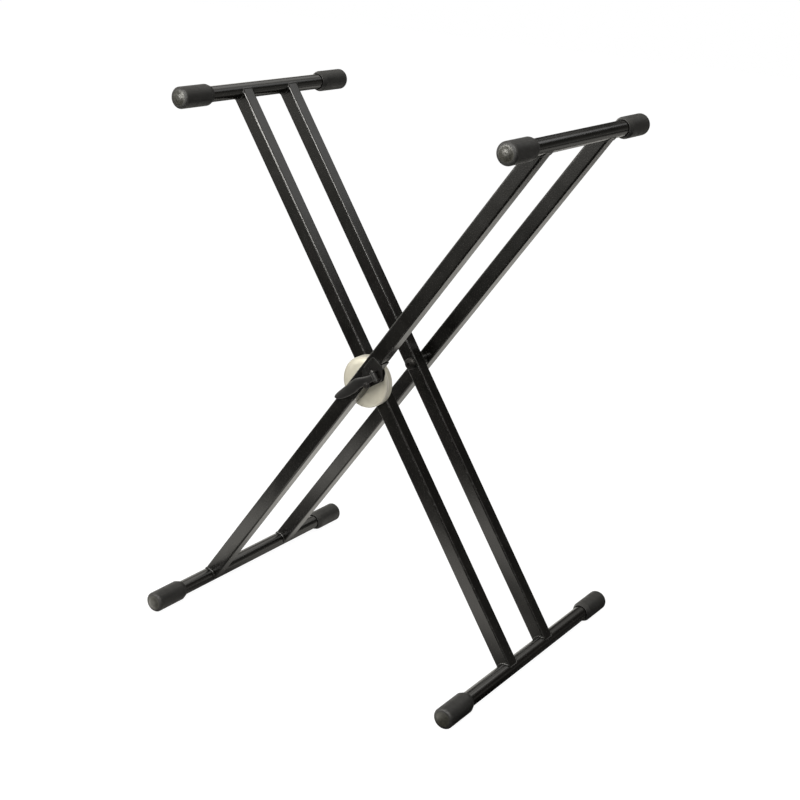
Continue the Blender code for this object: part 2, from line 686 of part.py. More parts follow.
def spring_collar():
    y = REAR_FLANGE_Y - PLATE - FIT - COLLAR_THICK
    mesh = ring_mesh("spring_collar", COLLAR_RADIUS, PIN_RADIUS + BORE_FIT, COLLAR_THICK, 20)
    add_piece("spring_collar", mesh, "black_zinc", OUTER, (PIN_X, y, PIN_Z), ACROSS)
    return y


def lock_spring(collar_y):
    """Compression spring from the front plate to the collar, one unbroken wire."""
    start = FRONT_PLATE_Y + FIT + SPRING_WIRE
    end = collar_y - FIT - SPRING_WIRE
    count = SPRING_TURNS * SPRING_POINTS
    curve = bpy.data.curves.new("lock_spring", "CURVE")
    curve.dimensions = "3D"
    curve.bevel_depth = SPRING_WIRE
    curve.bevel_resolution = 1
    curve.use_fill_caps = True
    spline = curve.splines.new("POLY")
    spline.points.add(count)
    pitch = (end - start) / SPRING_TURNS
    print("spring: gap between turns %.2f mm" % (1000 * (pitch - 2 * SPRING_WIRE)))
    for index, point in enumerate(spline.points):
        turn = math.tau * index / SPRING_POINTS
        height = start + (end - start) * index / count
        point.co = (SPRING_RADIUS * math.cos(turn), SPRING_RADIUS * math.sin(turn), height - start, 1)
    mesh = curve_to_mesh("lock_spring", curve)
    return add_piece("lock_spring", mesh, "spring_steel", OUTER, (PIN_X, start, PIN_Z), ACROSS)


lock_bracket()
hinge_pin()
lock_pin()
lock_spring(spring_collar())
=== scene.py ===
from math import atan2, copysign, cos, hypot, pi, radians, sin, sqrt, tan, tau

import bmesh
import bpy
from mathutils import Matrix, Vector, noise


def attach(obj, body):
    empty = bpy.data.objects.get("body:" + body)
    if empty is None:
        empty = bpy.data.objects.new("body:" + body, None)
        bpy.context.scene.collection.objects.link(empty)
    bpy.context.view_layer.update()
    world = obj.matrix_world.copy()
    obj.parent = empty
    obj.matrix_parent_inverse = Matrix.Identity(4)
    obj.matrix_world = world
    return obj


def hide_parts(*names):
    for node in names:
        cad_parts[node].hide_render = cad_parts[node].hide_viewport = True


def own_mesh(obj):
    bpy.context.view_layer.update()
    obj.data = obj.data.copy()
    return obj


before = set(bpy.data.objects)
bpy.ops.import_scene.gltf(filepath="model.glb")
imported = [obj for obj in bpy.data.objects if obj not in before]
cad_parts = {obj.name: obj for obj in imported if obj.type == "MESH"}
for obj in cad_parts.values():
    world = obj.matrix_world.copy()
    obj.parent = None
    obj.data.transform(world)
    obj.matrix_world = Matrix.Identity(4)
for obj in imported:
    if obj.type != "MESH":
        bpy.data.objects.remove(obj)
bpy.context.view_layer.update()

# Sizes shared with the solids, in metres
LEG_HALF = 0.519
LEG_ANGLE = radians(55.5)
LEG_SIZE = 0.025
LEG_WALL = 0.0015
INNER_SPREAD = 0.0595
HUB_GAP = 0.0212
FAR_GAP = 0.0127
BAR_RADIUS = 0.0127
BAR_WALL = 0.0015
TOP_BAR_HALF = 0.216
FOOT_BAR_HALF = 0.264
CAP_RADIUS = 0.01735
CAP_SIDES = 24
CAP_LENGTH = 0.072
CAP_END_WALL = 0.006
CAP_TAPER = 0.008
CAP_LIP = 0.0016
DISC_RADIUS = 0.043
DISC_WALL = 0.0025
DISC_FLAT_RADIUS = 0.029
DISC_SHOULDER = 0.8
FRONT_DISC_DEPTH = 0.0092
REAR_DISC_EDGE = 0.002
HUB_BOSS_RADIUS = 0.012
CLUTCH_WASHER_RADIUS = 0.016
CLUTCH_WASHER_THICK = 0.0015
LOCK_STEP = radians(15.5)
LOCK_SETTINGS = (1, 0, -1, -2, -3)
BOLT_RADIUS = 0.005
BOLT_HEAD_RADIUS = 0.010
BOLT_HEAD_HEIGHT = 0.0046
BOLT_TIP = 0.0015
WASHER_RADIUS = 0.0105
WASHER_THICK = 0.002
NUT_FLATS = 0.017
NUT_HEX_HEIGHT = 0.0065
NUT_COLLAR_HEIGHT = 0.003
NUT_COLLAR_RADIUS = 0.0074
SPACER_RADIUS = 0.011
HINGE_AHEAD = 0.001
HINGE_RISE = 0.022
TAB_TIP_X = -0.0105
TAB_TIP_Z = -0.0325
LEVER_THICK = 0.004
LEVER_STANDOFF = 0.008
LEVER_BOW = 0.003
LEVER_BARREL_RADIUS = 0.0042
LEVER_BARREL_HALF = 0.0055
LUG_RADIUS = 0.0052
LUG_HOLE_RADIUS = 0.003
# Half widths of the lever below and above its middle line, by share of its length
LEVER_WIDTHS = ((-0.05, 0.0045, 0.0045), (0.12, 0.0058, 0.0058), (0.27, 0.0064, 0.0086),
                (0.41, 0.0060, 0.0112), (0.55, 0.0081, 0.0094), (0.71, 0.0090, 0.0079),
                (0.87, 0.0075, 0.0056), (0.95, 0.0052, 0.0038), (0.985, 0.0030, 0.0022),
                (1.00, 0.0012, 0.0010))
PLATE = 0.0025
SADDLE = 0.0012
SADDLE_DROP = 0.020
PIN_SHARE = 0.78
PIN_RADIUS = 0.0025
PIN_NECK_RADIUS = 0.0019
PIN_HEAD_RADIUS = 0.0042
PIN_HEAD_EDGE = 0.0012
PIN_HEAD_CONE = radians(20)
PIN_SHORT = 0.0009
BRACKET_LAP = 0.018
BRACKET_RISE = 0.018
BRACKET_CORNER = 0.005
BRACKET_DISC_GAP = 0.0011
EAR_THICK = 0.0022
EAR_RADIUS = 0.005
HINGE_PIN_RADIUS = 0.002
HINGE_HEAD_RADIUS = 0.0034
HINGE_HEAD_THICK = 0.0012
CLIP_RADIUS = 0.0036
CLIP_THICK = 0.0008
COLLAR_RADIUS = 0.0042
COLLAR_THICK = 0.0015
SPRING_RADIUS = 0.0035
SPRING_WIRE = 0.0005
SPRING_TURNS = 7
FIT = 0.0003
BORE_FIT = 0.0003

# Sizes of what only the looks have, or have finer
LEG_CORNER = 0.0028
CAP_DOME = 0.0026
CAP_EDGE = 0.0045
CAP_RIM = 0.0006
CAP_BEND = 0.0022
CAP_GROOVE = 0.00035
CAP_STATIONS = (0.94, 0.86, 0.72, 0.56, 0.4, 0.25, 0.12)
DISC_CROWN_START = 0.0145
DISC_CROWN = 0.0007
REAR_DISC_BEND = 0.0015
BOLT_SOCKET = 0.006
THREAD_LENGTH = 0.020
THREAD_END = 0.0009
THREAD_PITCH = 0.0015
THREAD_DEPTH = 0.0006
WELD_RADIUS = 0.0021
WELD_STEP = 0.0006
WELD_RIPPLE = 0.0019
BRACKET_WELD_SHARE = 0.62
SEAM_ANGLE = 0.06
SEAM_HEIGHT = 0.00018
EAR_EDGE = 0.0003
EAR_INSET = 0.06
SPACER_EDGE = 0.0008
DISC_LIP = 0.0004
NUT_BEVEL = radians(30)
NUT_BEND = 0.0012
LINER_DEPTH = 0.002
SPRING_END = 2.1 * SPRING_WIRE
SPRING_STEPS = 32
LEVER_SIDES = 32
LEVER_STATIONS = 96
LEVER_CROWDING = 1.25   # above 1, its stations crowd towards the tip
LEVER_SQUARE = (0.75, 0.55)     # below 1, its section is squarer, across and outwards
LEVER_THIN = (0.45, 0.008)  # share of its thickness at no width, width that adds a whole
# How deep a cap's end face reaches, and over what share of its radius the painted highlight fades
# at the rim
END_FACE_DEPTH = 0.005
END_FACE_FADE = 0.10
WEAR_FROM = 110     # edges bent less than this, in radians per metre, aren't worn
WEAR_RANGE = 240
FINE = 0.0003       # how far small turned pieces have their edges broken
EDGE = 0.0004       # and tubes and plates
BLUNT = 2.7         # corners blunter than this, in radians, aren't rounded

# Photographed view, solved from the tubes' edges and fitted to the silhouette
PICTURE_PIXELS = 800
FOCAL_PIXELS = 1488.69
SENSOR = 36
CAMERA_PLACE = (1.27676, -1.97622, 1.21381)
CAMERA_RIGHT = (0.82916, 0.55562, 0.06142)
CAMERA_UP = (-0.23192, 0.24194, 0.94216)

LEAN = pi / 2 - LEG_ANGLE
HALF = LEG_SIZE / 2
CAP_REST = CAP_RADIUS * cos(pi / CAP_SIDES)
PIVOT_Z = CAP_REST + LEG_HALF * sin(LEG_ANGLE)
INNER_NEAR_Y = -INNER_SPREAD
INNER_FAR_Y = INNER_SPREAD
OUTER_NEAR_Y = INNER_NEAR_Y - LEG_SIZE - HUB_GAP
OUTER_FAR_Y = INNER_FAR_Y + LEG_SIZE + FAR_GAP
LEG_FACE_Y = OUTER_NEAR_Y - HALF
FRONT_DISC_Y = OUTER_NEAR_Y + HALF + FIT
REAR_DISC_Y = FRONT_DISC_Y + FRONT_DISC_DEPTH + FIT
DISC_INSIDE = DISC_RADIUS - DISC_WALL
REAR_DISC_DEPTH = INNER_NEAR_Y - HALF - FIT - REAR_DISC_Y
PIN_X = HALF + 2 * FIT + SADDLE + COLLAR_RADIUS
PIN_Z = sqrt((PIN_SHARE * DISC_RADIUS) ** 2 - PIN_X ** 2)
HINGE_X = PIN_X + HINGE_AHEAD
HINGE_Z = PIN_Z + HINGE_RISE
HINGE_Y = LEG_FACE_Y - LEVER_STANDOFF - LEVER_THICK / 2
LEVER_LENGTH = hypot(TAB_TIP_X - HINGE_X, TAB_TIP_Z - HINGE_Z)
FRONT_PLATE_Y = LEG_FACE_Y - FIT
REAR_FLANGE_Y = FRONT_DISC_Y - BRACKET_DISC_GAP

BORE = BOLT_RADIUS + BORE_FIT
HINGE_BORE = HINGE_PIN_RADIUS + BORE_FIT
PIN_BORE = PIN_RADIUS + BORE_FIT
shift = Matrix.Translation
ACROSS = Matrix.Rotation(radians(-90), 4, "X")     # a turned piece's axis to +Y
BACK = Matrix.Rotation(radians(90), 4, "X")        # and to -Y
OUTER, INNER = (shift((0, 0, PIVOT_Z)) @ Matrix.Rotation(lean, 4, "Y") for lean in (LEAN, -LEAN))
FRAMES = {"outer": (OUTER, "outer_frame"), "inner": (INNER, "inner_frame")}
LEGS_Y = {"outer": (OUTER_NEAR_Y, OUTER_FAR_Y), "inner": (INNER_NEAR_Y, INNER_FAR_Y)}
BARS = {"top": (LEG_HALF, TOP_BAR_HALF), "foot": (-LEG_HALF, FOOT_BAR_HALF)}


def on_axis(base, y, x=0, z=0):
    """Place of a turned piece whose axis runs along +Y and starts at y."""
    return base @ shift((x, y, z)) @ ACROSS


def grey(value):
    return (value, value, value, 1)


# Materials

class Graph:
    """Short calls that add nodes to a tree and link them."""

    def __init__(self, tree):
        self.tree = tree

    def link(self, value, socket):
        """Lead a socket or a node's first output to it, or set a plain value."""
        if hasattr(value, "outputs"):
            value = value.outputs[0]
        if hasattr(value, "links"):
            self.tree.links.new(value, socket)
        else:
            socket.default_value = value

    def add(self, kind, settings=(), **inputs):
        """Add a node. An input is given by its name, or by its number as _0, _1 or _2."""
        node = self.tree.nodes.new("ShaderNode" + kind)
        for name, value in dict(settings).items():
            setattr(node, name, value)
        for name, value in inputs.items():
            key = int(name[1:]) if name[1:].isdigit() else name.replace("_", " ")
            self.link(value, node.inputs[key])
        return node

    def math(self, operation, *values):
        node = self.add("Math", {"operation": operation})
        for value, socket in zip(values, node.inputs):
            self.link(value, socket)
        return node.outputs[0]

    def times(self, first, second):
        return self.math("MULTIPLY", first, second)

    def plus(self, first, second):
        return self.math("ADD", first, second)

    def mixed(self, share, first, second):
        return self.add("MixShader", Fac=share, _1=first, _2=second)

    def curve(self, value, stops):
        """Brightness against a value, straight between (value, brightness) stops."""
        low, high = stops[0][0], stops[-1][0]
        share = self.add("MapRange", Value=value, From_Min=low, From_Max=high)
        ramp = self.add("ValToRGB", Fac=share)
        band = ramp.color_ramp
        peak = max(bright for _, bright in stops)
        for place, _ in stops[1:-1]:
            band.elements.new((place - low) / (high - low))
        for element, (_, bright) in zip(band.elements, stops):
            element.color = grey(bright / peak)
        return self.times(ramp, peak)


class Surface(Graph):
    """A material built on one Principled shader."""

    def __init__(self, name, **shader):
        self.material = bpy.data.materials.new(name)
        self.material.use_nodes = True
        super().__init__(self.material.node_tree)
        self.shader = self.tree.nodes["Principled BSDF"]
        for socket, value in shader.items():
            self.shader.inputs[socket].default_value = value
        self.where = self.add("TexCoord").outputs["Object"]
        self.edge = self.mask("edge")
        self.normal = None

    def stretched(self, scale, spin):
        spin = [radians(turn) for turn in spin]
        return self.add("Mapping", Vector=self.where, Scale=scale, Rotation=spin).outputs["Vector"]

    def noise(self, scale, detail=3.0, rough=0.5, where=None, twist=0.0):
        return self.add("TexNoise", Vector=where or self.where, Scale=scale, Detail=detail,
                        Roughness=rough, Distortion=twist).outputs["Fac"]

    def span(self, value, low, high, to_low=0.0, to_high=1.0):
        """Value from low..high to to_low..to_high, clamped."""
        return self.add("MapRange", Value=value, From_Min=low, From_Max=high,
                        To_Min=to_low, To_Max=to_high).outputs["Result"]

    def blend(self, share, first, second):
        node = self.add("Mix", {"data_type": "RGBA"}, Factor=share)
        for socket, value in ((node.inputs[6], first), (node.inputs[7], second)):
            self.link((*value, 1.0) if isinstance(value, tuple) else value, socket)
        return node.outputs[2]

    def mask(self, name):
        return self.add("Attribute", {"attribute_name": name}).outputs["Fac"]

    def bump(self, height, strength, distance):
        node = self.add("Bump", Height=height, Strength=strength, Distance=distance)
        if self.normal:
            self.link(self.normal, node.inputs["Normal"])
        self.normal = node.outputs["Normal"]

    def done(self, color, roughness):
        self.link(color, self.shader.inputs["Base Color"])
        self.link(roughness, self.shader.inputs["Roughness"])
        self.link(self.normal, self.shader.inputs["Normal"])
        return self.material


def enamel(name, dark=(0.0038, 0.0035, 0.0029), rough=(0.16, 0.26)):
    """Stoved gloss black: orange peel, handling marks, scuffed corners."""
    s = Surface(name, IOR=1.5)
    smudge = s.noise(16, 5, 0.6, twist=0.6)
    speck = s.span(s.noise(900, 2), 0.70, 0.78)
    scratch_lines = s.noise(34, 3, 0.7, s.stretched((40, 3, 1.2), (12, 7, 3)))
    scratches = s.times(s.span(scratch_lines, 0.66, 0.72), s.span(s.noise(9, 2), 0.5, 0.7))
    rub = s.times(s.edge, s.span(s.noise(85, 4, 0.7), 0.46, 0.66))
    chip = s.times(s.edge, s.span(s.noise(210, 3, 0.75), 0.66, 0.70))
    base = s.blend(s.span(smudge, 0.35, 0.75), dark, tuple(c * 2.1 for c in dark))
    base = s.blend(s.times(speck, 0.3), base, (0.05, 0.048, 0.043))
    base = s.blend(s.times(scratches, 0.4), base, (0.035, 0.035, 0.037))
    base = s.blend(s.times(rub, 0.35), base, (0.022, 0.0215, 0.021))
    base = s.blend(s.times(chip, 0.6), base, (0.12, 0.117, 0.114))
    gloss = s.span(smudge, 0.3, 0.75, *rough)
    gloss = s.plus(gloss, s.times(rub, 0.18))
    gloss = s.plus(gloss, s.times(scratches, 0.15))
    s.bump(s.noise(420, 2, 0.45), s.span(s.edge, 0.0, 1.0, 0.16, 0.03), 0.0004)
    s.bump(s.noise(2600, 2, 0.5), 0.05, 0.0002)
    return s.done(base, gloss)


def rubber(name):
    """Moulded black rubber: fine grain, dust in it, greyed where it rubs, and a beige painted
    highlight on its end faces.
    """
    s = Surface(name, IOR=1.47)
    cloud = s.noise(30, 5, 0.62)
    dust = s.times(s.span(s.noise(160, 5, 0.7), 0.52, 0.72), s.span(cloud, 0.42, 0.66))
    worn = s.times(s.edge, s.span(s.noise(120, 4, 0.7), 0.38, 0.66))
    base = s.blend(s.span(cloud, 0.35, 0.7), (0.0062, 0.0061, 0.0059), (0.0115, 0.0113, 0.0105))
    base = s.blend(s.times(dust, 0.3), base, (0.06, 0.057, 0.052))
    base = s.blend(s.times(worn, 0.4), base, (0.055, 0.052, 0.048))
    # End faces: a beige painted highlight, mottled like dust, full over the face and fading out at
    # the rim
    face = s.mask("end_face")
    dust_and_highlight = s.span(s.noise(95, 5, 0.7, twist=0.8), 0.34, 0.66)
    base = s.blend(s.times(face, s.span(dust_and_highlight, 0.0, 1.0, 0.35, 0.95)), base, (0.048, 0.046, 0.034))
    rough = s.span(s.noise(75, 4), 0.35, 0.7, 0.46, 0.62)
    rough = s.math("SUBTRACT", rough, s.times(face, 0.16))
    s.bump(s.noise(1500, 3, 0.6), 0.35, 0.0003)
    s.bump(s.noise(240, 3, 0.6), 0.2, 0.0005)
    return s.done(base, rough)


def rings(s, scale):
    """Noise that changes only with the distance from the piece's own axis."""
    parts = s.add("SeparateXYZ", Vector=s.where).outputs
    squares = s.plus(s.times(parts["X"], parts["X"]), s.times(parts["Y"], parts["Y"]))
    ring = s.add("CombineXYZ", X=s.math("SQRT", squares), Z=parts["Z"])
    return s.noise(scale, 2.0, 0.6, ring.outputs[0])


def metal(name, color, stain, rough, ring_scale, ring_bump, worn=(0.75, 0.73, 0.70), metallic=1.0):
    """Turned or rolled plated metal with fine rings, stains and rubbed edges."""
    s = Surface(name, Metallic=metallic)
    ring = rings(s, ring_scale)
    patch = s.noise(45, 5, 0.65, twist=0.8)
    marks = s.span(s.noise(70, 3, 0.7, s.stretched((30, 2, 2), (30, 10, 55))), 0.64, 0.70)
    base = s.blend(s.span(patch, 0.35, 0.72), color, stain)
    base = s.blend(s.times(s.span(ring, 0.35, 0.7), 0.25), base, tuple(c * 0.8 for c in color))
    base = s.blend(s.times(s.edge, 0.4), base, worn)
    gloss = s.plus(s.span(patch, 0.3, 0.75, *rough), s.times(s.span(ring, 0.3, 0.7), 0.08))
    gloss = s.plus(gloss, s.times(marks, 0.12))
    s.bump(ring, ring_bump, 0.0002)
    s.bump(s.noise(900, 2), 0.05, 0.0002)
    return s.done(base, gloss)


def plastic(name, color, light, rough, grain):
    """Moulded plastic with a fine sparked texture and rubbed edges."""
    s = Surface(name, IOR=1.49)
    cloud = s.noise(55, 4, 0.6)
    worn = s.times(s.edge, s.span(s.noise(160, 3, 0.7), 0.4, 0.7))
    base = s.blend(s.span(cloud, 0.35, 0.7), color, light)
    base = s.blend(s.times(worn, 0.35), base, tuple(min(1.0, c * 2.2 + 0.03) for c in light))
    s.bump(s.noise(1300, 2, 0.5), grain, 0.00025)
    return s.done(base, s.span(s.noise(110, 4), 0.35, 0.7, *rough))


# Finishes: a material and the slot of the record that it is for
ENAMEL = enamel("gloss_black_enamel"), "frame_enamel"
RUBBER = rubber("matt_black_rubber"), "cap_rubber"
NICKEL = metal("satin_nickel", (0.62, 0.59, 0.49), (0.55, 0.52, 0.43), (0.46, 0.58), 2600, 0.10,
               metallic=0.35), "disc_nickel"
BLACK_ZINC = metal("black_zinc", (0.016, 0.016, 0.017), (0.026, 0.024, 0.021), (0.38, 0.50), 1900,
                   0.12, (0.12, 0.115, 0.11)), "black_zinc"
STEEL = metal("spring_steel", (0.09, 0.09, 0.093), (0.065, 0.063, 0.061), (0.34, 0.46), 2400, 0.10,
              (0.20, 0.195, 0.19)), "spring_steel"
NYLON = plastic("natural_nylon", (0.66, 0.64, 0.58), (0.72, 0.70, 0.64), (0.42, 0.55),
                0.15), "nylon"
LEVER_PAINT = enamel("lever_paint", (0.0075, 0.0072, 0.0070), (0.26, 0.40)), "lever_black"
BRACKET_PAINT = enamel("bracket_paint", rough=(0.24, 0.34)), "frame_enamel"


# Mesh tools

def edge_mask(mesh):
    """Mark how sharply each point's surface bends outwards, for wear."""
    work = bmesh.new()
    work.from_mesh(mesh)
    layer = mesh.attributes.new("edge", "FLOAT", "POINT")
    for vert in work.verts:
        bend = 0.0
        for side in vert.link_edges:
            if len(side.link_faces) == 2:
                angle = side.calc_face_angle_signed(0.0)
                area = sum(face.calc_area() for face in side.link_faces)
                width = area / 2 / max(side.calc_length(), 1e-9)
                bend = max(bend, angle / max(width, 2e-4))
        layer.data[vert.index].value = min(1.0, max(0.0, (bend - WEAR_FROM) / WEAR_RANGE))
    work.free()


def placed(name, data, place=Matrix()):
    thing = bpy.data.objects.new(name, data)
    bpy.context.scene.collection.objects.link(thing)
    thing.matrix_world = place
    return thing


def piece(name, mesh, finish, body, place, angle=34, solid=True):
    """Put a mesh in the scene: its finish, its body and, with solid, the CAD node of its name."""
    material, slot = finish
    thing = placed(name, mesh, place)
    mesh.name = name
    mesh.materials.clear()
    mesh.materials.append(material)
    edge_mask(mesh)
    mesh.shade_smooth()
    mesh.set_sharp_from_angle(angle=radians(angle))
    thing.modifiers.new("normals", "WEIGHTED_NORMAL").keep_sharp = True
    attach(thing, body)
    if solid:
        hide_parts(name)
    return thing


def finished(work):
    bmesh.ops.remove_doubles(work, verts=work.verts, dist=1e-7)
    bmesh.ops.recalc_face_normals(work, faces=work.faces)
    mesh = bpy.data.meshes.new("piece")
    work.to_mesh(mesh)
    work.free()
    return mesh


def join_loops(work, loops, closed=False):
    """Faces between neighbouring loops, and over both ends unless the last meets the first."""
    for one, two in zip(loops, loops[1:] + (loops[:1] if closed else [])):
        for here in range(len(one)):
            after = (here + 1) % len(one)
            work.faces.new((one[here], one[after], two[after], two[here]))
    if not closed:
        work.faces.new(loops[0])
        work.faces.new(loops[-1])


def lofted(loops, closed=False):
    work = bmesh.new()
    join_loops(work, [[work.verts.new(spot) for spot in loop] for loop in loops], closed)
    return finished(work)


def thread_cut(height, turn, start, end, pitch, depth):
    """How deep a thread cuts at this height and share of a turn."""
    wave = (height / pitch - turn) % 1.0
    fade = min(1.0, (height - start) / pitch, (end - height) / pitch * 2)
    return depth * max(0.0, 1 - abs(2 * wave - 1) * 1.25) * max(0.0, fade)


def turned(profile, steps=96, thread=None):
    """Turn a closed (radius, height) profile about Z. A thread is (start, end, pitch, depth)."""
    work = bmesh.new()
    loops = []
    for radius, height in profile:
        if radius < 1e-7:
            loops.append([work.verts.new((0, 0, height))])
            continue
        threaded = thread and thread[0] <= height <= thread[1] and radius > BOLT_RADIUS - 1e-6
        loop = []
        for step in range(steps):
            turn = step / steps
            reach = radius - (thread_cut(height, turn, *thread) if threaded else 0.0)
            angle = tau * turn
            loop.append(work.verts.new((reach * cos(angle), reach * sin(angle), height)))
        loops.append(loop)
    for one, two in zip(loops, loops[1:] + loops[:1]):
        if len(one) > 1 or len(two) > 1:
            for step in range(steps):
                after = (step + 1) % steps
                corners = (one[step % len(one)], two[step % len(two)],
                           two[after % len(two)], one[after % len(one)])
                work.faces.new(tuple(dict.fromkeys(corners)))
    return finished(work)


def arc(centre, radius, start, end, steps):
    wide, tall = radius if isinstance(radius, tuple) else (radius, radius)
    spots = []
    for step in range(steps + 1):
        angle = radians(start + (end - start) * step / steps)
        spots.append((centre[0] + wide * cos(angle), centre[1] + tall * sin(angle)))
    return spots


def eased_corners(profile, radius, steps=3):
    """Round each corner of a closed profile by up to the given radius."""
    spots = []
    count = len(profile)
    for index, corner in enumerate(profile):
        here = Vector(corner)
        back = Vector(profile[index - 1]) - here
        ahead = Vector(profile[(index + 1) % count]) - here
        if corner[0] < 1e-7 or min(back.length, ahead.length) < 1e-9 or back.angle(ahead) > BLUNT:
            spots.append(corner)
            continue
        cut = min(radius, back.length * 0.4, ahead.length * 0.4)
        start, end = here + back.normalized() * cut, here + ahead.normalized() * cut
        for step in range(steps + 1):
            share = step / steps
            spots.append(tuple(start * (1 - share) ** 2 + here * 2 * share * (1 - share)
                               + end * share ** 2))
    return spots


def rounded(corners, radius, steps=6, flat_steps=1):
    """Outline with round corners, and extra points along its flats."""
    spots = []
    count = len(corners)
    for index, corner in enumerate(corners):
        here = Vector(corner)
        back = (Vector(corners[index - 1]) - here).normalized()
        ahead = (Vector(corners[(index + 1) % count]) - here).normalized()
        half_angle = back.angle(ahead) / 2
        reach = radius / tan(half_angle)
        centre = here + (back + ahead).normalized() * radius / sin(half_angle)
        start = here + back * reach - centre
        sweep = start.angle_signed(here + ahead * reach - centre)
        for step in range(steps + 1):
            spoke = start.copy()
            spoke.rotate(Matrix.Rotation(-sweep * step / steps, 2))
            spots.append(centre + spoke)
        after = Vector(corners[(index + 1) % count])
        after_back = (here - after).normalized()
        after_ahead = (Vector(corners[(index + 2) % count]) - after).normalized()
        leave = here + ahead * reach
        arrive = after + after_back * radius / tan(after_back.angle(after_ahead) / 2)
        for step in range(1, flat_steps):
            spots.append(leave.lerp(arrive, step / flat_steps))
    return [tuple(spot) for spot in spots]


def plate(corners, thick, corner_radius, edge=EDGE):
    """A flat plate in x-z with round corners and broken edges, centred in its thickness."""
    outline = rounded(corners, corner_radius)
    centre = Vector((sum(x for x, _ in outline), sum(z for _, z in outline))) / len(outline)
    rows = []
    half = thick / 2
    levels = [(-half, edge), (-half + edge * 0.3, edge * 0.3), (-half + edge, 0)]
    for depth, inset in levels + [(-depth, inset) for depth, inset in levels[::-1]]:
        row = []
        for spot in outline:
            pull = (centre - Vector(spot)).normalized() * inset
            row.append((spot[0] + pull.x, depth, spot[1] + pull.y))
        rows.append(row)
    return lofted(rows)


def swept(path, radii, closed=False, normals=None, sides=12):
    """A round bead along a path, with its own radius at every point."""
    count = len(path)
    loops = []
    for index, spot in enumerate(path):
        before = path[index - 1] if closed or index else spot
        after = path[(index + 1) % count] if closed or index < count - 1 else spot
        along = (after - before).normalized()
        if normals:
            up = normals[index]
        elif not index:
            up = along.orthogonal()
        up = (up - along * up.dot(along)).normalized()
        across = along.cross(up)
        loop = []
        for step in range(sides):
            turn = tau * step / sides
            loop.append(spot + (up * cos(turn) + across * sin(turn)) * radii[index])
        loops.append(loop)
    return lofted(loops, closed)


def carved(mesh, operation, tools):
    """Boolean of a mesh with (mesh, matrix) tools, result as a new mesh."""
    base = placed("carving", mesh)
    helpers = [placed("tool", tool, place) for tool, place in tools]
    for helper in helpers:
        step = base.modifiers.new("cut", "BOOLEAN")
        step.operation = operation
        step.object = helper
    bpy.context.view_layer.update()
    view = bpy.context.evaluated_depsgraph_get()
    result = bpy.data.meshes.new_from_object(base.evaluated_get(view))
    for helper in helpers + [base]:
        bpy.data.objects.remove(helper)
    return result


def cut(mesh, *tools):
    return carved(mesh, "DIFFERENCE", tools)


def eased(profile, edge, steps):
    return turned(eased_corners(profile, edge), steps)


def square(half):
    return [(half, half), (-half, half), (-half, -half), (half, -half)]


def post(radius, low, high):
    """Profile of a plain cylinder."""
    return [(0, high), (radius, high), (radius, low), (0, low)]


def drill(radius, length, sides=48):
    return turned(post(radius, -length / 2, length / 2), sides)


def hexagon(radius, height):
    return turned(post(radius, 0, height), 6)


def rod(radius, half, edge):
    return eased(post(radius, -half, half), edge, 48)


# Leg frames

def leg(prefix, side, y):
    """Square tube, coped to the bars, drilled at the pivot."""
    base, body = FRAMES[prefix]
    rows = []
    work = bmesh.new()
    for half, corner in ((HALF, LEG_CORNER), (HALF - LEG_WALL, LEG_CORNER - LEG_WALL)):
        outline = rounded(square(half), corner, 8, 12)
        for level in (-1, -0.9, 0.9, 1):
            row = []
            for x, across in outline:
                cope = sqrt(max((BAR_RADIUS + FIT) ** 2 - x * x, 0))
                height = level * LEG_HALF if abs(level) < 1 else level * (LEG_HALF - cope)
                row.append(work.verts.new((x, across, height)))
            rows.append(row)
    join_loops(work, rows[:4] + rows[:3:-1], True)
    mesh = cut(finished(work), (drill(BORE, 2 * LEG_SIZE), ACROSS))
    piece(f"{prefix}_leg_{side}", mesh, ENAMEL, body, base @ shift((0, y, 0)))


def bead_radius(run, seed):
    """Stacked-ripple height of a hand-laid weld."""
    ripple = abs(sin(pi * run / WELD_RIPPLE))
    drift = noise.noise(Vector((run * 90, seed * 3.1, 0.5)))
    return WELD_RADIUS * (0.90 + 0.13 * ripple + 0.16 * drift)


def weld_ring(prefix, side, y, end):
    """Fillet weld where a leg saddles its bar, all round the leg."""
    base, body = FRAMES[prefix]
    outline = [Vector(spot) for spot in rounded(square(HALF), LEG_CORNER, 8, 30)]
    path, radii, ways = [], [], []
    run = 0.0
    seed = y * 100 + end + (7 if prefix == "inner" else 0)
    for index, spot in enumerate(outline):
        after = outline[(index + 1) % len(outline)]
        before = outline[index - 1]
        along = (after - before).normalized()
        wall = Vector((along.y, -along.x))
        if wall.dot(spot) < 0:
            wall = -wall
        cope = sqrt(BAR_RADIUS ** 2 - spot.x ** 2)
        corner = Vector((spot.x, spot.y, end * (LEG_HALF - cope)))
        wall = Vector((wall.x, wall.y, 0))
        bar_way = Vector((spot.x, 0, -end * cope)) / BAR_RADIUS
        outward = (wall + bar_way).normalized()
        run += (spot - before).length
        radius = bead_radius(run, seed)
        path.append(corner + outward * radius * (0.30 - 0.95 * max(0.0, wall.dot(bar_way))))
        radii.append(radius)
        ways.append(outward)
    piece(f"{prefix}_{side}_{'top' if end > 0 else 'foot'}_weld", swept(path, radii, True, ways),
          ENAMEL, body, base @ shift((0, y, 0)), 60, False)


def bar(prefix, place):
    base, body = FRAMES[prefix]
    height, half_length = BARS[place]
    half = half_length - CAP_END_WALL - FIT
    inside = BAR_RADIUS - BAR_WALL
    profile = [(BAR_RADIUS, -half), (BAR_RADIUS, half), (inside, half), (inside, -half)]
    mesh = eased(profile, EDGE, 96)
    piece(f"{prefix}_{place}_bar", mesh, ENAMEL, body, on_axis(base, 0, z=height))


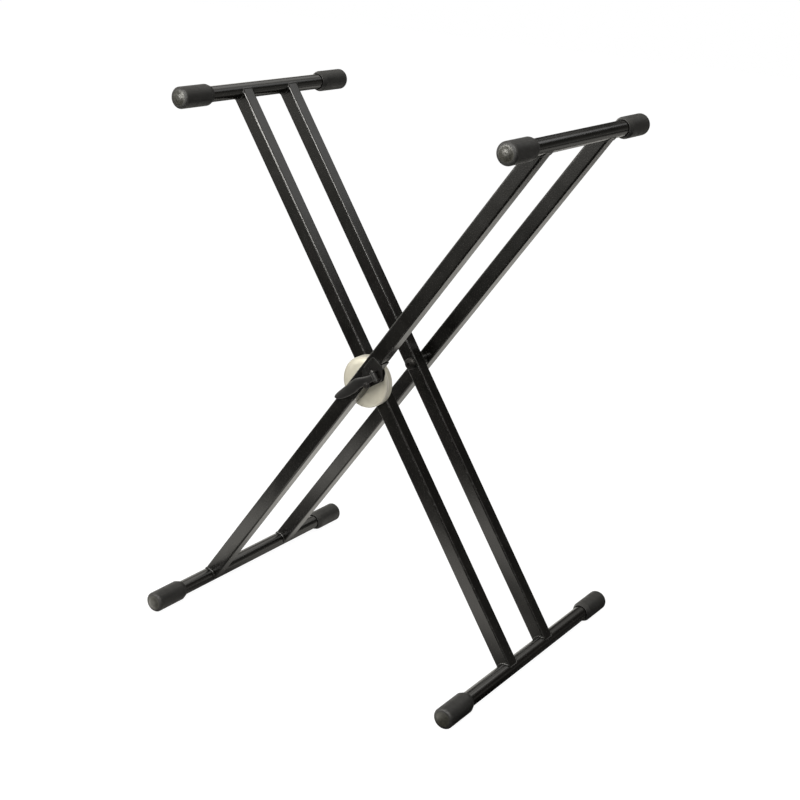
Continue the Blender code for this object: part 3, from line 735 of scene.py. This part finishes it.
def cap_profile():
    """Rubber cup with a crowned end, a rolled rim and a tapered mouth."""
    bore = BAR_RADIUS + FIT
    floor_in = CAP_LENGTH - CAP_END_WALL
    profile = [(0, floor_in), (bore, floor_in), (bore, 0.0007), (bore + 0.0005, 0)]
    profile += arc((bore + CAP_LIP - CAP_RIM, CAP_RIM), CAP_RIM, -90, -10, 4)
    profile += [(CAP_RADIUS - 0.0006, CAP_TAPER - 0.0016)]
    profile += arc((CAP_RADIUS - CAP_BEND, CAP_TAPER + 0.0004), CAP_BEND, -14, 0, 3)
    straight = CAP_LENGTH - 2 * CAP_TAPER
    profile += [(CAP_RADIUS, CAP_TAPER + share * straight) for share in (0.2, 0.4, 0.6, 0.8)]
    rim = CAP_RADIUS - CAP_EDGE
    profile += arc((rim, CAP_LENGTH - CAP_DOME - CAP_EDGE), CAP_EDGE, 0, 82, 10)
    for share in CAP_STATIONS:
        crown = CAP_DOME * (1 - share * share)
        groove = CAP_GROOVE if 0.7 < share < 0.9 else 0
        profile.append((rim * share, CAP_LENGTH - CAP_DOME + crown - groove))
    return profile + [(0, CAP_LENGTH - 0.0002)]


def cap(prefix, place, side):
    """A cap with its mould line, its end face marked for a painted highlight, and a flat where it
    meets the floor.
    """
    base, body = FRAMES[prefix]
    height, half_length = BARS[place]
    mesh = turned(cap_profile(), 96)
    end_face = mesh.attributes.new("end_face", "FLOAT", "POINT")
    for vert in mesh.vertices:
        reach = hypot(vert.co.x, vert.co.y)
        if reach > CAP_RADIUS * 0.9:
            turn = atan2(vert.co.x, vert.co.y)
            off = min(abs(turn), abs(abs(turn) - pi))
            lift = SEAM_HEIGHT * max(0.0, 1 - off / SEAM_ANGLE)
            vert.co.x += vert.co.x / reach * lift
            vert.co.y += vert.co.y / reach * lift
        # end_face: where the painted highlight goes, full over the end and fading out at the rim
        out = hypot(vert.co.x, vert.co.y) / (CAP_RADIUS - CAP_EDGE)
        if vert.co.z > CAP_LENGTH - END_FACE_DEPTH:
            end_face.data[vert.index].value = max(0.0, min(1.0, (1.0 - out) / END_FACE_FADE))
    turn = ACROSS if side > 0 else BACK
    at = base @ shift((0, side * (half_length - CAP_LENGTH), height)) @ turn
    back = at.inverted()
    for vert in mesh.vertices:
        spot = at @ vert.co
        if spot.z < 0:
            spot.z = 0
            vert.co = back @ spot
    piece(f"{prefix}_{place}_cap_{'near' if side < 0 else 'far'}", mesh, RUBBER, body, at, 50)


for prefix in FRAMES:
    for side, y in zip(("near", "far"), LEGS_Y[prefix]):
        leg(prefix, side, y)
        for end in (1, -1):
            weld_ring(prefix, side, y, end)
    for place in BARS:
        bar(prefix, place)
        for side in (-1, 1):
            cap(prefix, place, side)


# Clutch discs

def pin_hole(turn=0.0):
    spot = Matrix.Rotation(-turn, 3, "Y") @ Vector((PIN_X, 0, PIN_Z))
    return drill(PIN_BORE, 0.06, 32), on_axis(Matrix(), 0, spot.x, spot.z)


def disc_profile(depth, boss_end, outside, inside):
    """A dish: its bore, outside, rim, inside and boss."""
    lip = DISC_LIP
    rim = [(DISC_RADIUS, depth - lip), (DISC_RADIUS - lip, depth), (DISC_INSIDE + lip, depth),
           (DISC_INSIDE, depth - lip)]
    boss = [(HUB_BOSS_RADIUS + 0.001, DISC_WALL), (HUB_BOSS_RADIUS, DISC_WALL + 0.001),
            (HUB_BOSS_RADIUS, boss_end)]
    return [(BORE, boss_end), (BORE, 0)] + outside + rim + inside + boss


def front_disc_profile():
    """Crowned flat, rounded shoulder, open back."""
    boss_end = FRONT_DISC_DEPTH - CLUTCH_WASHER_THICK - FIT
    shoulder = DISC_SHOULDER * FRONT_DISC_DEPTH
    centre = (DISC_FLAT_RADIUS, shoulder)
    crown = []
    for share in [step / 8 for step in range(8)]:
        radius = DISC_CROWN_START + (DISC_FLAT_RADIUS - DISC_CROWN_START) * share
        crown.append((radius, DISC_CROWN * share ** 2))
    dome = arc(centre, (DISC_RADIUS - DISC_FLAT_RADIUS, shoulder - DISC_CROWN), -84, 0, 24)
    lining = arc(centre, (DISC_INSIDE - DISC_FLAT_RADIUS, shoulder - DISC_WALL), 0, -90, 12)
    return disc_profile(FRONT_DISC_DEPTH, boss_end, crown + dome, lining)


def rear_disc_profile():
    edge, bend = REAR_DISC_EDGE, REAR_DISC_BEND
    outside = arc((DISC_RADIUS - edge, edge), edge, -90, 0, 10)
    inside = arc((DISC_INSIDE - bend, DISC_WALL + bend), bend, 0, -90, 6)
    return disc_profile(REAR_DISC_DEPTH, REAR_DISC_DEPTH, outside, inside)


def clutch_disc(name, profile, prefix, y, turns):
    """A turned disc with a hole for the lock pin at each turn."""
    base, body = FRAMES[prefix]
    back = on_axis(Matrix(), y).inverted()
    holes = [(hole, back @ spot) for hole, spot in map(pin_hole, turns)]
    mesh = cut(turned(profile, 160), *holes)
    piece(name, mesh, NICKEL, body, on_axis(base, y))


def washer(hole, radius, thick, edge, steps):
    return eased([(hole, thick), (hole, 0), (radius, 0), (radius, thick)], edge, steps)


def ring(name, radius, hole, thick, finish, body, place, edge=FINE, steps=72):
    piece(name, washer(hole, radius, thick, edge, steps), finish, body, place)


clutch_disc("front_clutch_disc", front_disc_profile(), "outer", FRONT_DISC_Y, [0.0])
clutch_disc("rear_clutch_disc", rear_disc_profile(), "inner", REAR_DISC_Y,
            [setting * LOCK_STEP - 2 * LEAN for setting in LOCK_SETTINGS])
ring("clutch_washer", CLUTCH_WASHER_RADIUS, BORE, CLUTCH_WASHER_THICK, NYLON, "inner_frame",
     on_axis(INNER, REAR_DISC_Y - FIT - CLUTCH_WASHER_THICK))


# Pivot bolts

def lock_nut():
    """Chamfered nut with a rolled collar round its nylon ring."""
    corner = NUT_FLATS / sqrt(3)
    tall = NUT_HEX_HEIGHT
    bevel = corner - NUT_FLATS / 2
    drop = bevel * tan(NUT_BEVEL)
    wide, tight = corner + 0.0002, NUT_FLATS / 2 * 0.98
    envelope = turned([(0, tall), (tight, tall), (wide, tall - drop - 0.0002),
                       (wide, drop + 0.0002), (tight, 0), (0, 0)])
    mesh = carved(hexagon(corner, tall), "INTERSECT", [(envelope, Matrix())])
    collar_top = tall + NUT_COLLAR_HEIGHT
    bend = (NUT_COLLAR_RADIUS - NUT_BEND, collar_top - NUT_BEND)
    collar = turned([(0, collar_top - 0.0006), (NUT_COLLAR_RADIUS - 0.0022, collar_top - 0.0006)]
                    + arc(bend, NUT_BEND, 140, 0, 8)
                    + [(NUT_COLLAR_RADIUS, tall - 0.001), (0, tall - 0.001)], 72)
    mesh = carved(mesh, "UNION", [(collar, Matrix())])
    return cut(mesh, (drill(BORE, 0.05), Matrix()))


def pivot_hardware(name, head_face, nut_face):
    """Low round head with a hexagon socket, washers, chamfered lock nut on a threaded end."""
    head_under = head_face - 2 * FIT - WASHER_THICK
    nut_under = nut_face + 2 * FIT + WASHER_THICK
    nut_height = NUT_HEX_HEIGHT + NUT_COLLAR_HEIGHT
    shank = nut_under - head_under + nut_height + BOLT_TIP
    thread_start, thread_end = shank - THREAD_LENGTH, shank - THREAD_END
    slice_height = THREAD_PITCH / 8
    slices = int((THREAD_LENGTH - 0.001) / THREAD_PITCH * 8) + 1
    profile = [(0, -BOLT_HEAD_HEIGHT)]
    profile += arc((0, 0), (BOLT_HEAD_RADIUS, -BOLT_HEAD_HEIGHT), 90, 6, 16)[1:]
    profile += [(BOLT_HEAD_RADIUS - 0.0002, -0.0001), (BOLT_HEAD_RADIUS - 0.0006, 0),
                (BOLT_RADIUS + 0.0002, 0), (BOLT_RADIUS, 0.0003)]
    profile += [(BOLT_RADIUS, thread_start + index * slice_height) for index in range(slices)]
    profile += [(BOLT_RADIUS - 0.0001, thread_end), (BOLT_RADIUS - 0.001, shank), (0, shank)]
    bolt = turned(profile, 64, (thread_start, thread_end, THREAD_PITCH, THREAD_DEPTH))
    bolt = cut(bolt, (hexagon(BOLT_SOCKET / sqrt(3), 0.004),
                      shift((0, 0, -BOLT_HEAD_HEIGHT - 0.0016))))
    piece(name + "_pivot_bolt", bolt, BLACK_ZINC, "outer_frame", on_axis(OUTER, head_under))
    for place, start in (("head", head_face - FIT - WASHER_THICK), ("nut", nut_face + FIT)):
        ring(f"{name}_{place}_washer", WASHER_RADIUS, BORE, WASHER_THICK, BLACK_ZINC, "outer_frame",
             on_axis(OUTER, start))
    nut_place = on_axis(OUTER, nut_under)
    piece(name + "_lock_nut", lock_nut(), BLACK_ZINC, "outer_frame", nut_place)
    top = nut_height - 0.0007
    low, wide = top - LINER_DEPTH, NUT_COLLAR_RADIUS - NUT_BEND
    liner = eased([(BORE, top), (BORE, low), (wide, low), (wide, top)], 0.0002, 64)
    piece(name + "_nut_liner", liner, NYLON, "outer_frame", nut_place, solid=False)


pivot_hardware("near", OUTER_NEAR_Y - HALF, INNER_NEAR_Y + HALF)
pivot_hardware("far", INNER_FAR_Y - HALF, OUTER_FAR_Y + HALF)
ring("far_spacer", SPACER_RADIUS, BORE, FAR_GAP - 2 * FIT, BRACKET_PAINT, "outer_frame",
     on_axis(OUTER, INNER_FAR_Y + HALF + FIT), SPACER_EDGE)


# Trigger lever: x from the hinge to the tip, y away from the leg, z along the hinge

OUTWARD = Vector((0, -1, 0))
ALONG = Vector((TAB_TIP_X - HINGE_X, 0, TAB_TIP_Z - HINGE_Z)).normalized()
LEVER_TURN = Matrix((ALONG, OUTWARD, ALONG.cross(OUTWARD))).transposed()
LEVER_IN_FRAME = shift((HINGE_X, HINGE_Y, HINGE_Z)) @ LEVER_TURN.to_4x4()
LEVER = OUTER @ LEVER_IN_FRAME
PIN_IN_LEVER = LEVER_TURN.transposed() @ Vector((PIN_X - HINGE_X, 0, PIN_Z - HINGE_Z))


def smooth_row(table, place):
    """Half widths at a station, on a smooth curve through the table."""
    last = len(table) - 2
    index = next(i for i in range(last + 1) if place <= table[i + 1][0] or i == last)
    before, after = table[index], table[index + 1]
    back, ahead = table[max(index - 1, 0)], table[min(index + 2, last + 1)]
    span = after[0] - before[0]
    share = (place - before[0]) / span
    values = []
    for column in (1, 2):
        low, high = before[column], after[column]
        slope_low = (high - back[column]) / max(after[0] - back[0], 1e-6) * span
        slope_high = (ahead[column] - low) / max(ahead[0] - before[0], 1e-6) * span
        a, b = share * share, share * share * share
        values.append(low * (2 * b - 3 * a + 1) + slope_low * (b - 2 * a + share)
                      + high * (3 * a - 2 * b) + slope_high * (b - a))
    return values


def lever():
    """A bowed leaf of rounded section, with a barrel at the hinge and a lug for the pin."""
    loops = []
    first = LEVER_WIDTHS[0][0]
    for station in range(LEVER_STATIONS + 1):
        place = first + (1 - first) * (1 - (1 - station / LEVER_STATIONS) ** LEVER_CROWDING)
        below, above = smooth_row(LEVER_WIDTHS, place)
        middle, wide = (above - below) / 2, (above + below) / 2
        thick = LEVER_THICK / 2 * min(1.0, LEVER_THIN[0] + wide / LEVER_THIN[1])
        bow = LEVER_BOW * max(0.0, (place - 0.5) * 2) ** 2
        loop = []
        for n in range(LEVER_SIDES):
            angle = tau * (n + 0.5) / LEVER_SIDES
            across, out = (copysign(abs(wave) ** power, wave) for wave, power in
                           zip((cos(angle), sin(angle)), LEVER_SQUARE))
            loop.append((place * LEVER_LENGTH, bow + thick * out, middle + wide * across))
        loops.append(loop)
    mesh = lofted(loops)
    flat = shift(PIN_IN_LEVER) @ BACK
    barrel = rod(LEVER_BARREL_RADIUS, LEVER_BARREL_HALF, 0.0005)
    lug = rod(LUG_RADIUS, LEVER_THICK / 2, 0.0006)
    mesh = carved(mesh, "UNION", [(barrel, Matrix()), (lug, flat)])
    mesh = cut(mesh, (drill(HINGE_BORE, 0.03, 40), Matrix()),
               (drill(LUG_HOLE_RADIUS, 0.012, 40), flat))
    piece("lock_lever", mesh, LEVER_PAINT, "trigger", LEVER, 40)


lever()


# Bracket, hinge pin, lock pin and spring

def bracket():
    """Saddle on the leg: plate over its near face, wall down its side, flange behind, two ears."""
    side = HALF + FIT
    left = HALF - BRACKET_LAP
    top = HINGE_Z + BRACKET_RISE
    front = [(PIN_X + 0.003, PIN_Z - 0.0055), (HINGE_X + 0.0105, HINGE_Z - 0.006),
             (HINGE_X + 0.0105, HINGE_Z + 0.002), (HINGE_X - 0.0035, top), (left, top),
             (left, PIN_Z + 0.007), (side, PIN_Z - 0.013)]
    rear = [(PIN_X + 0.002, PIN_Z - 0.006), (PIN_X + 0.007, PIN_Z + 0.0055),
            (PIN_X + 0.0015, PIN_Z + 0.018), (side - BRACKET_CORNER, PIN_Z + 0.028),
            (side - BRACKET_CORNER, PIN_Z - 0.010)]
    front_y = FRONT_PLATE_Y - PLATE / 2
    rear_y = REAR_FLANGE_Y - PLATE / 2
    high = top - SADDLE
    wall = plate([(front_y, -SADDLE_DROP), (rear_y, -SADDLE_DROP), (rear_y, high), (front_y, high)],
                 SADDLE, 0.0006, 0.0002)
    upright = Matrix.Rotation(radians(90), 4, "Z")
    ear_out = LEVER_BARREL_HALF + FIT + EAR_THICK / 2
    ears = [(ear_plate(front_y - HINGE_Y), LEVER_IN_FRAME @ shift((0, 0, out)))
            for out in (-ear_out, ear_out)]
    mesh = plate(front, PLATE, BRACKET_CORNER)
    mesh.transform(shift((0, front_y, 0)))
    flange = plate(rear, PLATE, BRACKET_CORNER)
    mesh = carved(mesh, "UNION", [
        (flange, shift((0, rear_y, 0))),
        (wall, shift((side + SADDLE / 2, 0, 0)) @ upright)] + ears)
    clear = plate([(side - 0.012, -0.04), (side, -0.04), (side, 0.09), (side - 0.012, 0.09)],
                  REAR_FLANGE_Y + PLATE - FRONT_PLATE_Y, 0.0001, 0.00001)
    hole, spot = pin_hole()
    middle = (FRONT_PLATE_Y + REAR_FLANGE_Y + PLATE) / 2
    mesh = cut(mesh, (clear, shift((0, middle, 0))),
               (hole, shift((0, LEG_FACE_Y, 0)) @ spot),
               (drill(HINGE_BORE, 0.05, 32), LEVER_IN_FRAME))
    piece("lock_bracket", mesh, BRACKET_PAINT, "outer_frame", OUTER)


def ear_plate(ear_height):
    """An ear: round at the hinge, straight down to the bracket's front plate."""
    outline = [(x, -y) for x, y in arc((0, 0), EAR_RADIUS, 180, 360, 20)]
    outline += [(EAR_RADIUS, -ear_height), (-EAR_RADIUS, -ear_height)]
    half = EAR_THICK / 2
    broken = half - EAR_EDGE
    levels = ((-half, EAR_INSET), (-broken, 0), (broken, 0), (half, EAR_INSET))
    return lofted([[(x * (1 - inset), y, z) for x, y in outline] for z, inset in levels])


def bracket_weld():
    """Bead along the bracket's edge on the leg's near face."""
    left = HALF - BRACKET_LAP
    low, high = PIN_Z + 0.011, HINGE_Z + BRACKET_RISE - 0.004
    count = int((high - low) / WELD_STEP)
    path, radii = [], []
    for n in range(count + 1):
        path.append(Vector((left - 0.0002, LEG_FACE_Y - 0.0001, low + (high - low) * n / count)))
        fade = min(1.0, 0.4 + 0.3 * n, 0.4 + 0.3 * (count - n))
        radii.append(BRACKET_WELD_SHARE * bead_radius(n * WELD_STEP, 4.0) * fade)
    piece("bracket_weld", swept(path, radii), ENAMEL, "outer_frame", OUTER, 60, False)


def pins():
    outside = LEVER_BARREL_HALF + FIT + EAR_THICK + FIT
    tail = outside + CLIP_THICK + HINGE_HEAD_THICK
    head = -outside - HINGE_HEAD_THICK
    profile = [(0, tail), (HINGE_PIN_RADIUS, tail), (HINGE_PIN_RADIUS, -outside),
               (HINGE_HEAD_RADIUS, -outside), (HINGE_HEAD_RADIUS, head), (0, head)]
    piece("lever_hinge_pin", eased(profile, EDGE, 48), BLACK_ZINC, "outer_frame", LEVER)
    clip = washer(HINGE_BORE, CLIP_RADIUS, CLIP_THICK, 0.0002, 48)
    slit = plate([(0, -0.0011), (0.006, -0.0011), (0.006, 0.0011), (0, 0.0011)], 0.004, 0.0002)
    piece("hinge_pin_clip", cut(clip, (slit, BACK)), STEEL, "outer_frame",
          LEVER @ shift((0, 0, outside)))
    tip = REAR_DISC_Y - PIN_SHORT
    shoulder = HINGE_Y + LEVER_THICK / 2 + 2 * FIT
    under = HINGE_Y - LEVER_THICK / 2 - FIT
    cone = (PIN_HEAD_RADIUS - PIN_NECK_RADIUS) * tan(PIN_HEAD_CONE)
    profile = [(0, 0), (PIN_RADIUS - 0.0008, 0), (PIN_RADIUS, -0.0008),
               (PIN_RADIUS, shoulder - tip), (PIN_NECK_RADIUS, shoulder - tip),
               (PIN_NECK_RADIUS, under - tip), (PIN_HEAD_RADIUS, under - cone - tip),
               (PIN_HEAD_RADIUS, under - cone - PIN_HEAD_EDGE - tip),
               (0, under - cone - 1.5 * PIN_HEAD_EDGE - tip)]
    piece("lock_pin", eased(profile, FINE, 56), BLACK_ZINC, "plunger",
          on_axis(OUTER, tip, PIN_X, PIN_Z))
    collar_y = REAR_FLANGE_Y - PLATE - FIT - COLLAR_THICK
    ring("spring_collar", COLLAR_RADIUS, PIN_BORE, COLLAR_THICK, BLACK_ZINC, "plunger",
         on_axis(OUTER, collar_y, PIN_X, PIN_Z), steps=56)
    return collar_y


def spring(collar_y):
    """Closed and ground end turns, open turns between them."""
    start = FRONT_PLATE_Y + FIT + SPRING_WIRE
    end = collar_y - FIT - SPRING_WIRE
    length = end - start
    steps = SPRING_STEPS * SPRING_TURNS
    path = []
    for n in range(steps + 1):
        turns = SPRING_TURNS * n / steps
        if turns < 1:
            rise = SPRING_END * turns
        elif turns > SPRING_TURNS - 1:
            rise = length - SPRING_END * (SPRING_TURNS - turns)
        else:
            rise = SPRING_END + (length - 2 * SPRING_END) * (turns - 1) / (SPRING_TURNS - 2)
        angle = tau * turns
        path.append(Vector((SPRING_RADIUS * cos(angle), SPRING_RADIUS * sin(angle), rise)))
    mesh = swept(path, [SPRING_WIRE] * len(path), sides=10)
    place = on_axis(OUTER, start, PIN_X, PIN_Z)
    thing = piece("lock_spring", mesh, STEEL, "outer_frame", place, 60)
    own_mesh(thing)


bracket()
bracket_weld()
spring(pins())


# Studio

def area_light(name, place, target, size, watts, color=(1, 1, 1), seen=True, lights=True):
    """A softbox. seen: reflections show it. lights: it lights what isn't a mirror."""
    data = bpy.data.lights.new(name, "AREA")
    data.shape = "RECTANGLE"
    data.size, data.size_y = size
    data.energy = watts
    data.color = color
    lamp = placed(name, data)
    lamp.location = place
    lamp.rotation_euler = (Vector(target) - Vector(place)).to_track_quat("-Z", "Y").to_euler()
    lamp.visible_camera = False
    lamp.visible_glossy = seen
    lamp.visible_diffuse = lights


def blank(owner):
    """Graph of a material or world, without the nodes it starts with."""
    owner.use_nodes = True
    owner.node_tree.nodes.clear()
    return Graph(owner.node_tree)


# What mirror-like faces see of the floor: products, added up, of (value, brightness) stops along Y
# and across X
FLOOR_FIELDS = (
    # front of the stand, far and near
    ([(-4.4, 0.75), (-3.9, 0.57), (-2.94, 0.36), (-2.25, 0.18), (-1.75, 0.10), (-1.04, 0.11),
      (-0.57, 0.20), (-0.50, 0.2), (-0.42, 0)],
     [(-1, 1), (0.12, 1), (0.34, 0.12), (1, 0.12)]),
    ([(-0.57, 0), (-0.50, 0.4), (-0.42, 1.9), (-0.25, 2), (-0.15, 0.7), (-0.05, 0.2),
      (0.05, 0)],
     [(-1, 1), (-0.32, 1), (-0.27, 0.3), (-0.20, 0.3), (-0.12, 0.9), (0.25, 0.95),
      (0.285, 0.04), (1, 0.04)]),
    # behind it, and the far part of the floor
    ([(-0.1, 0), (0.02, 1), (0.2, 1.3), (0.3, 1.25), (0.46, 1.1), (0.6, 0.68), (0.8, 0.78),
      (1.05, 0.92), (1.4, 0.8), (2, 0.5), (4, 0.2)],
     [(-1, 0.05), (-0.7, 0.05), (-0.32, 0.35), (-0.16, 1), (-0.02, 1), (0.08, 1.3),
      (0.18, 1.3), (0.26, 0.5), (0.34, 0.07), (1, 0.07)]),
    ([(1.35, 0), (1.7, 0.35), (2.1, 0.6), (2.8, 0.4), (3.6, 0)], [(-1, 0.5), (1, 1)]),
    # its far right corner, and a patch that the disc's rounded edge shows
    ([(2.5, 0), (3.5, 0.35)], [(2.9, 0), (3.4, 1)]),
    ([(0.2, 0), (0.4, 1.6), (0.7, 1.6), (0.9, 0)],
     [(-1.1, 0), (-0.85, 1), (-0.5, 1), (-0.4, 0)]),
)
# Painted shadow of the foot bars on the floor that reflections show, by X
FOOT_BAR_SHADOWS = ((-1, 1), (-0.297, 1), (-0.290, 0.4), (-0.282, 0.4), (-0.276, 1),
                 (0.26, 1), (0.285, 0.1), (0.308, 0.1), (0.322, 0.5), (0.36, 0.5), (0.42, 1),
                 (1, 1))
FLOOR_HALF = 9
FLOOR_GLOW = 0.945
PAPER = grey(0.80)
PAPER_UNDER_GLOW = grey(0.20)
# The room that reflections show, by elevation in degrees and by how far to the left and right
ROOM_BY_ELEVATION = ((-90, 0.3), (-4, 0.3), (3, 0.12), (12, 0.05), (26, 0.05), (34, 0.4), (43, 1.3),
                     (90, 1.4))
ROOM_LEFT = ((-1, 1.2), (-0.62, 1.2), (-0.50, 0), (0, 0))
ROOM_RIGHT = ((0.61, 0), (0.68, 0.25), (1, 0.25))
ROOM_SOFT = 0.32
WARM = (1.0, 0.97, 0.90, 1)
SOFTBOX_WARM = (1.0, 0.985, 0.955)
SOFTBOX_WARMER = (1.0, 0.985, 0.93)


def studio_floor():
    """Pale paper: white to the camera but for the shadow, and shaded in reflections."""
    work = bmesh.new()
    bmesh.ops.create_grid(work, x_segments=8, y_segments=8, size=FLOOR_HALF)
    mesh = bpy.data.meshes.new("studio_floor")
    work.to_mesh(mesh)
    work.free()
    floor = placed("studio_floor", mesh)
    material = bpy.data.materials.new("studio_paper")
    mesh.materials.append(material)
    g = blank(material)
    path = g.add("LightPath").outputs
    paper = g.add("BsdfDiffuse", Color=PAPER)
    dim = g.add("BsdfDiffuse", Color=PAPER_UNDER_GLOW)
    white = g.add("AddShader", _0=dim, _1=g.add("Emission", Strength=FLOOR_GLOW))
    where = g.add("SeparateXYZ", Vector=g.add("TexCoord").outputs["Object"]).outputs
    light = 0.0
    for by_y, by_x in FLOOR_FIELDS:
        light = g.math("MULTIPLY_ADD", g.curve(where["Y"], by_y), g.curve(where["X"], by_x), light)
    # painted shadow of the foot bars on the floor that reflections show
    light = g.times(light, g.curve(where["X"], FOOT_BAR_SHADOWS))
    first = g.mixed(path["Is Camera Ray"], paper, white)
    both = g.mixed(path["Is Glossy Ray"], first, g.add("Emission", Color=WARM, Strength=light))
    g.add("OutputMaterial", Surface=both)


def studio_world():
    """White to the camera, soft for diffuse light, a shaded room in reflections."""
    world = bpy.data.worlds.new("studio")
    bpy.context.scene.world = world
    g = blank(world)
    path = g.add("LightPath").outputs
    soft = g.add("Background", Color=grey(1), Strength=ROOM_SOFT)
    white = g.add("Background", Color=grey(1), Strength=1.0)
    way = g.add("SeparateXYZ", Vector=g.add("TexCoord").outputs["Generated"]).outputs
    stops = [(sin(radians(degrees)), bright) for degrees, bright in ROOM_BY_ELEVATION]
    light = g.plus(g.curve(way["Z"], stops), g.curve(way["X"], ROOM_LEFT))
    light = g.plus(light, g.curve(way["X"], ROOM_RIGHT))
    first = g.mixed(path["Is Glossy Ray"], soft, g.add("Background", Color=WARM, Strength=light))
    g.add("OutputWorld", Surface=g.mixed(path["Is Camera Ray"], first, white))


def camera():
    data = bpy.data.cameras.new("camera")
    data.sensor_width = SENSOR
    data.lens = FOCAL_PIXELS / PICTURE_PIXELS * SENSOR
    data.clip_start = 0.05
    data.clip_end = 100
    right = Vector(CAMERA_RIGHT)
    back = right.cross(Vector(CAMERA_UP)).normalized()
    turn = Matrix((right, back.cross(right), back)).transposed()
    place = shift(CAMERA_PLACE) @ turn.to_4x4()
    bpy.context.scene.camera = placed("camera", data, place)


studio_floor()
studio_world()
area_light("front_left_softbox", (-0.92, -2.30, 1.14), (-0.1, 0, 0.75), (1.25, 0.46), 56,
           SOFTBOX_WARMER, lights=False)
area_light("key_softbox", (0.95, -2.45, 1.95), (0, 0, 0.6), (1.0, 0.8), 50, SOFTBOX_WARM,
           seen=False)
area_light("ridge_softbox", (0.85, -2.30, 2.45), (-0.2, 0, 0.75), (1.3, 1.0), 105, SOFTBOX_WARM,
           lights=False)
area_light("back_right_softbox", (0.95, 2.3, 2.32), (0, 0, 0.6), (0.9, 0.8), 2.4)
area_light("back_left_softbox", (-0.72, 2.3, 2.75), (0, 0, 0.6), (1.5, 0.9), 2.4)
area_light("top_softbox", (-0.3, -0.2, 3.0), (0, 0, 0.4), (2.0, 2.0), 18, seen=False)
camera()
bpy.context.scene.view_settings.view_transform = "Standard"
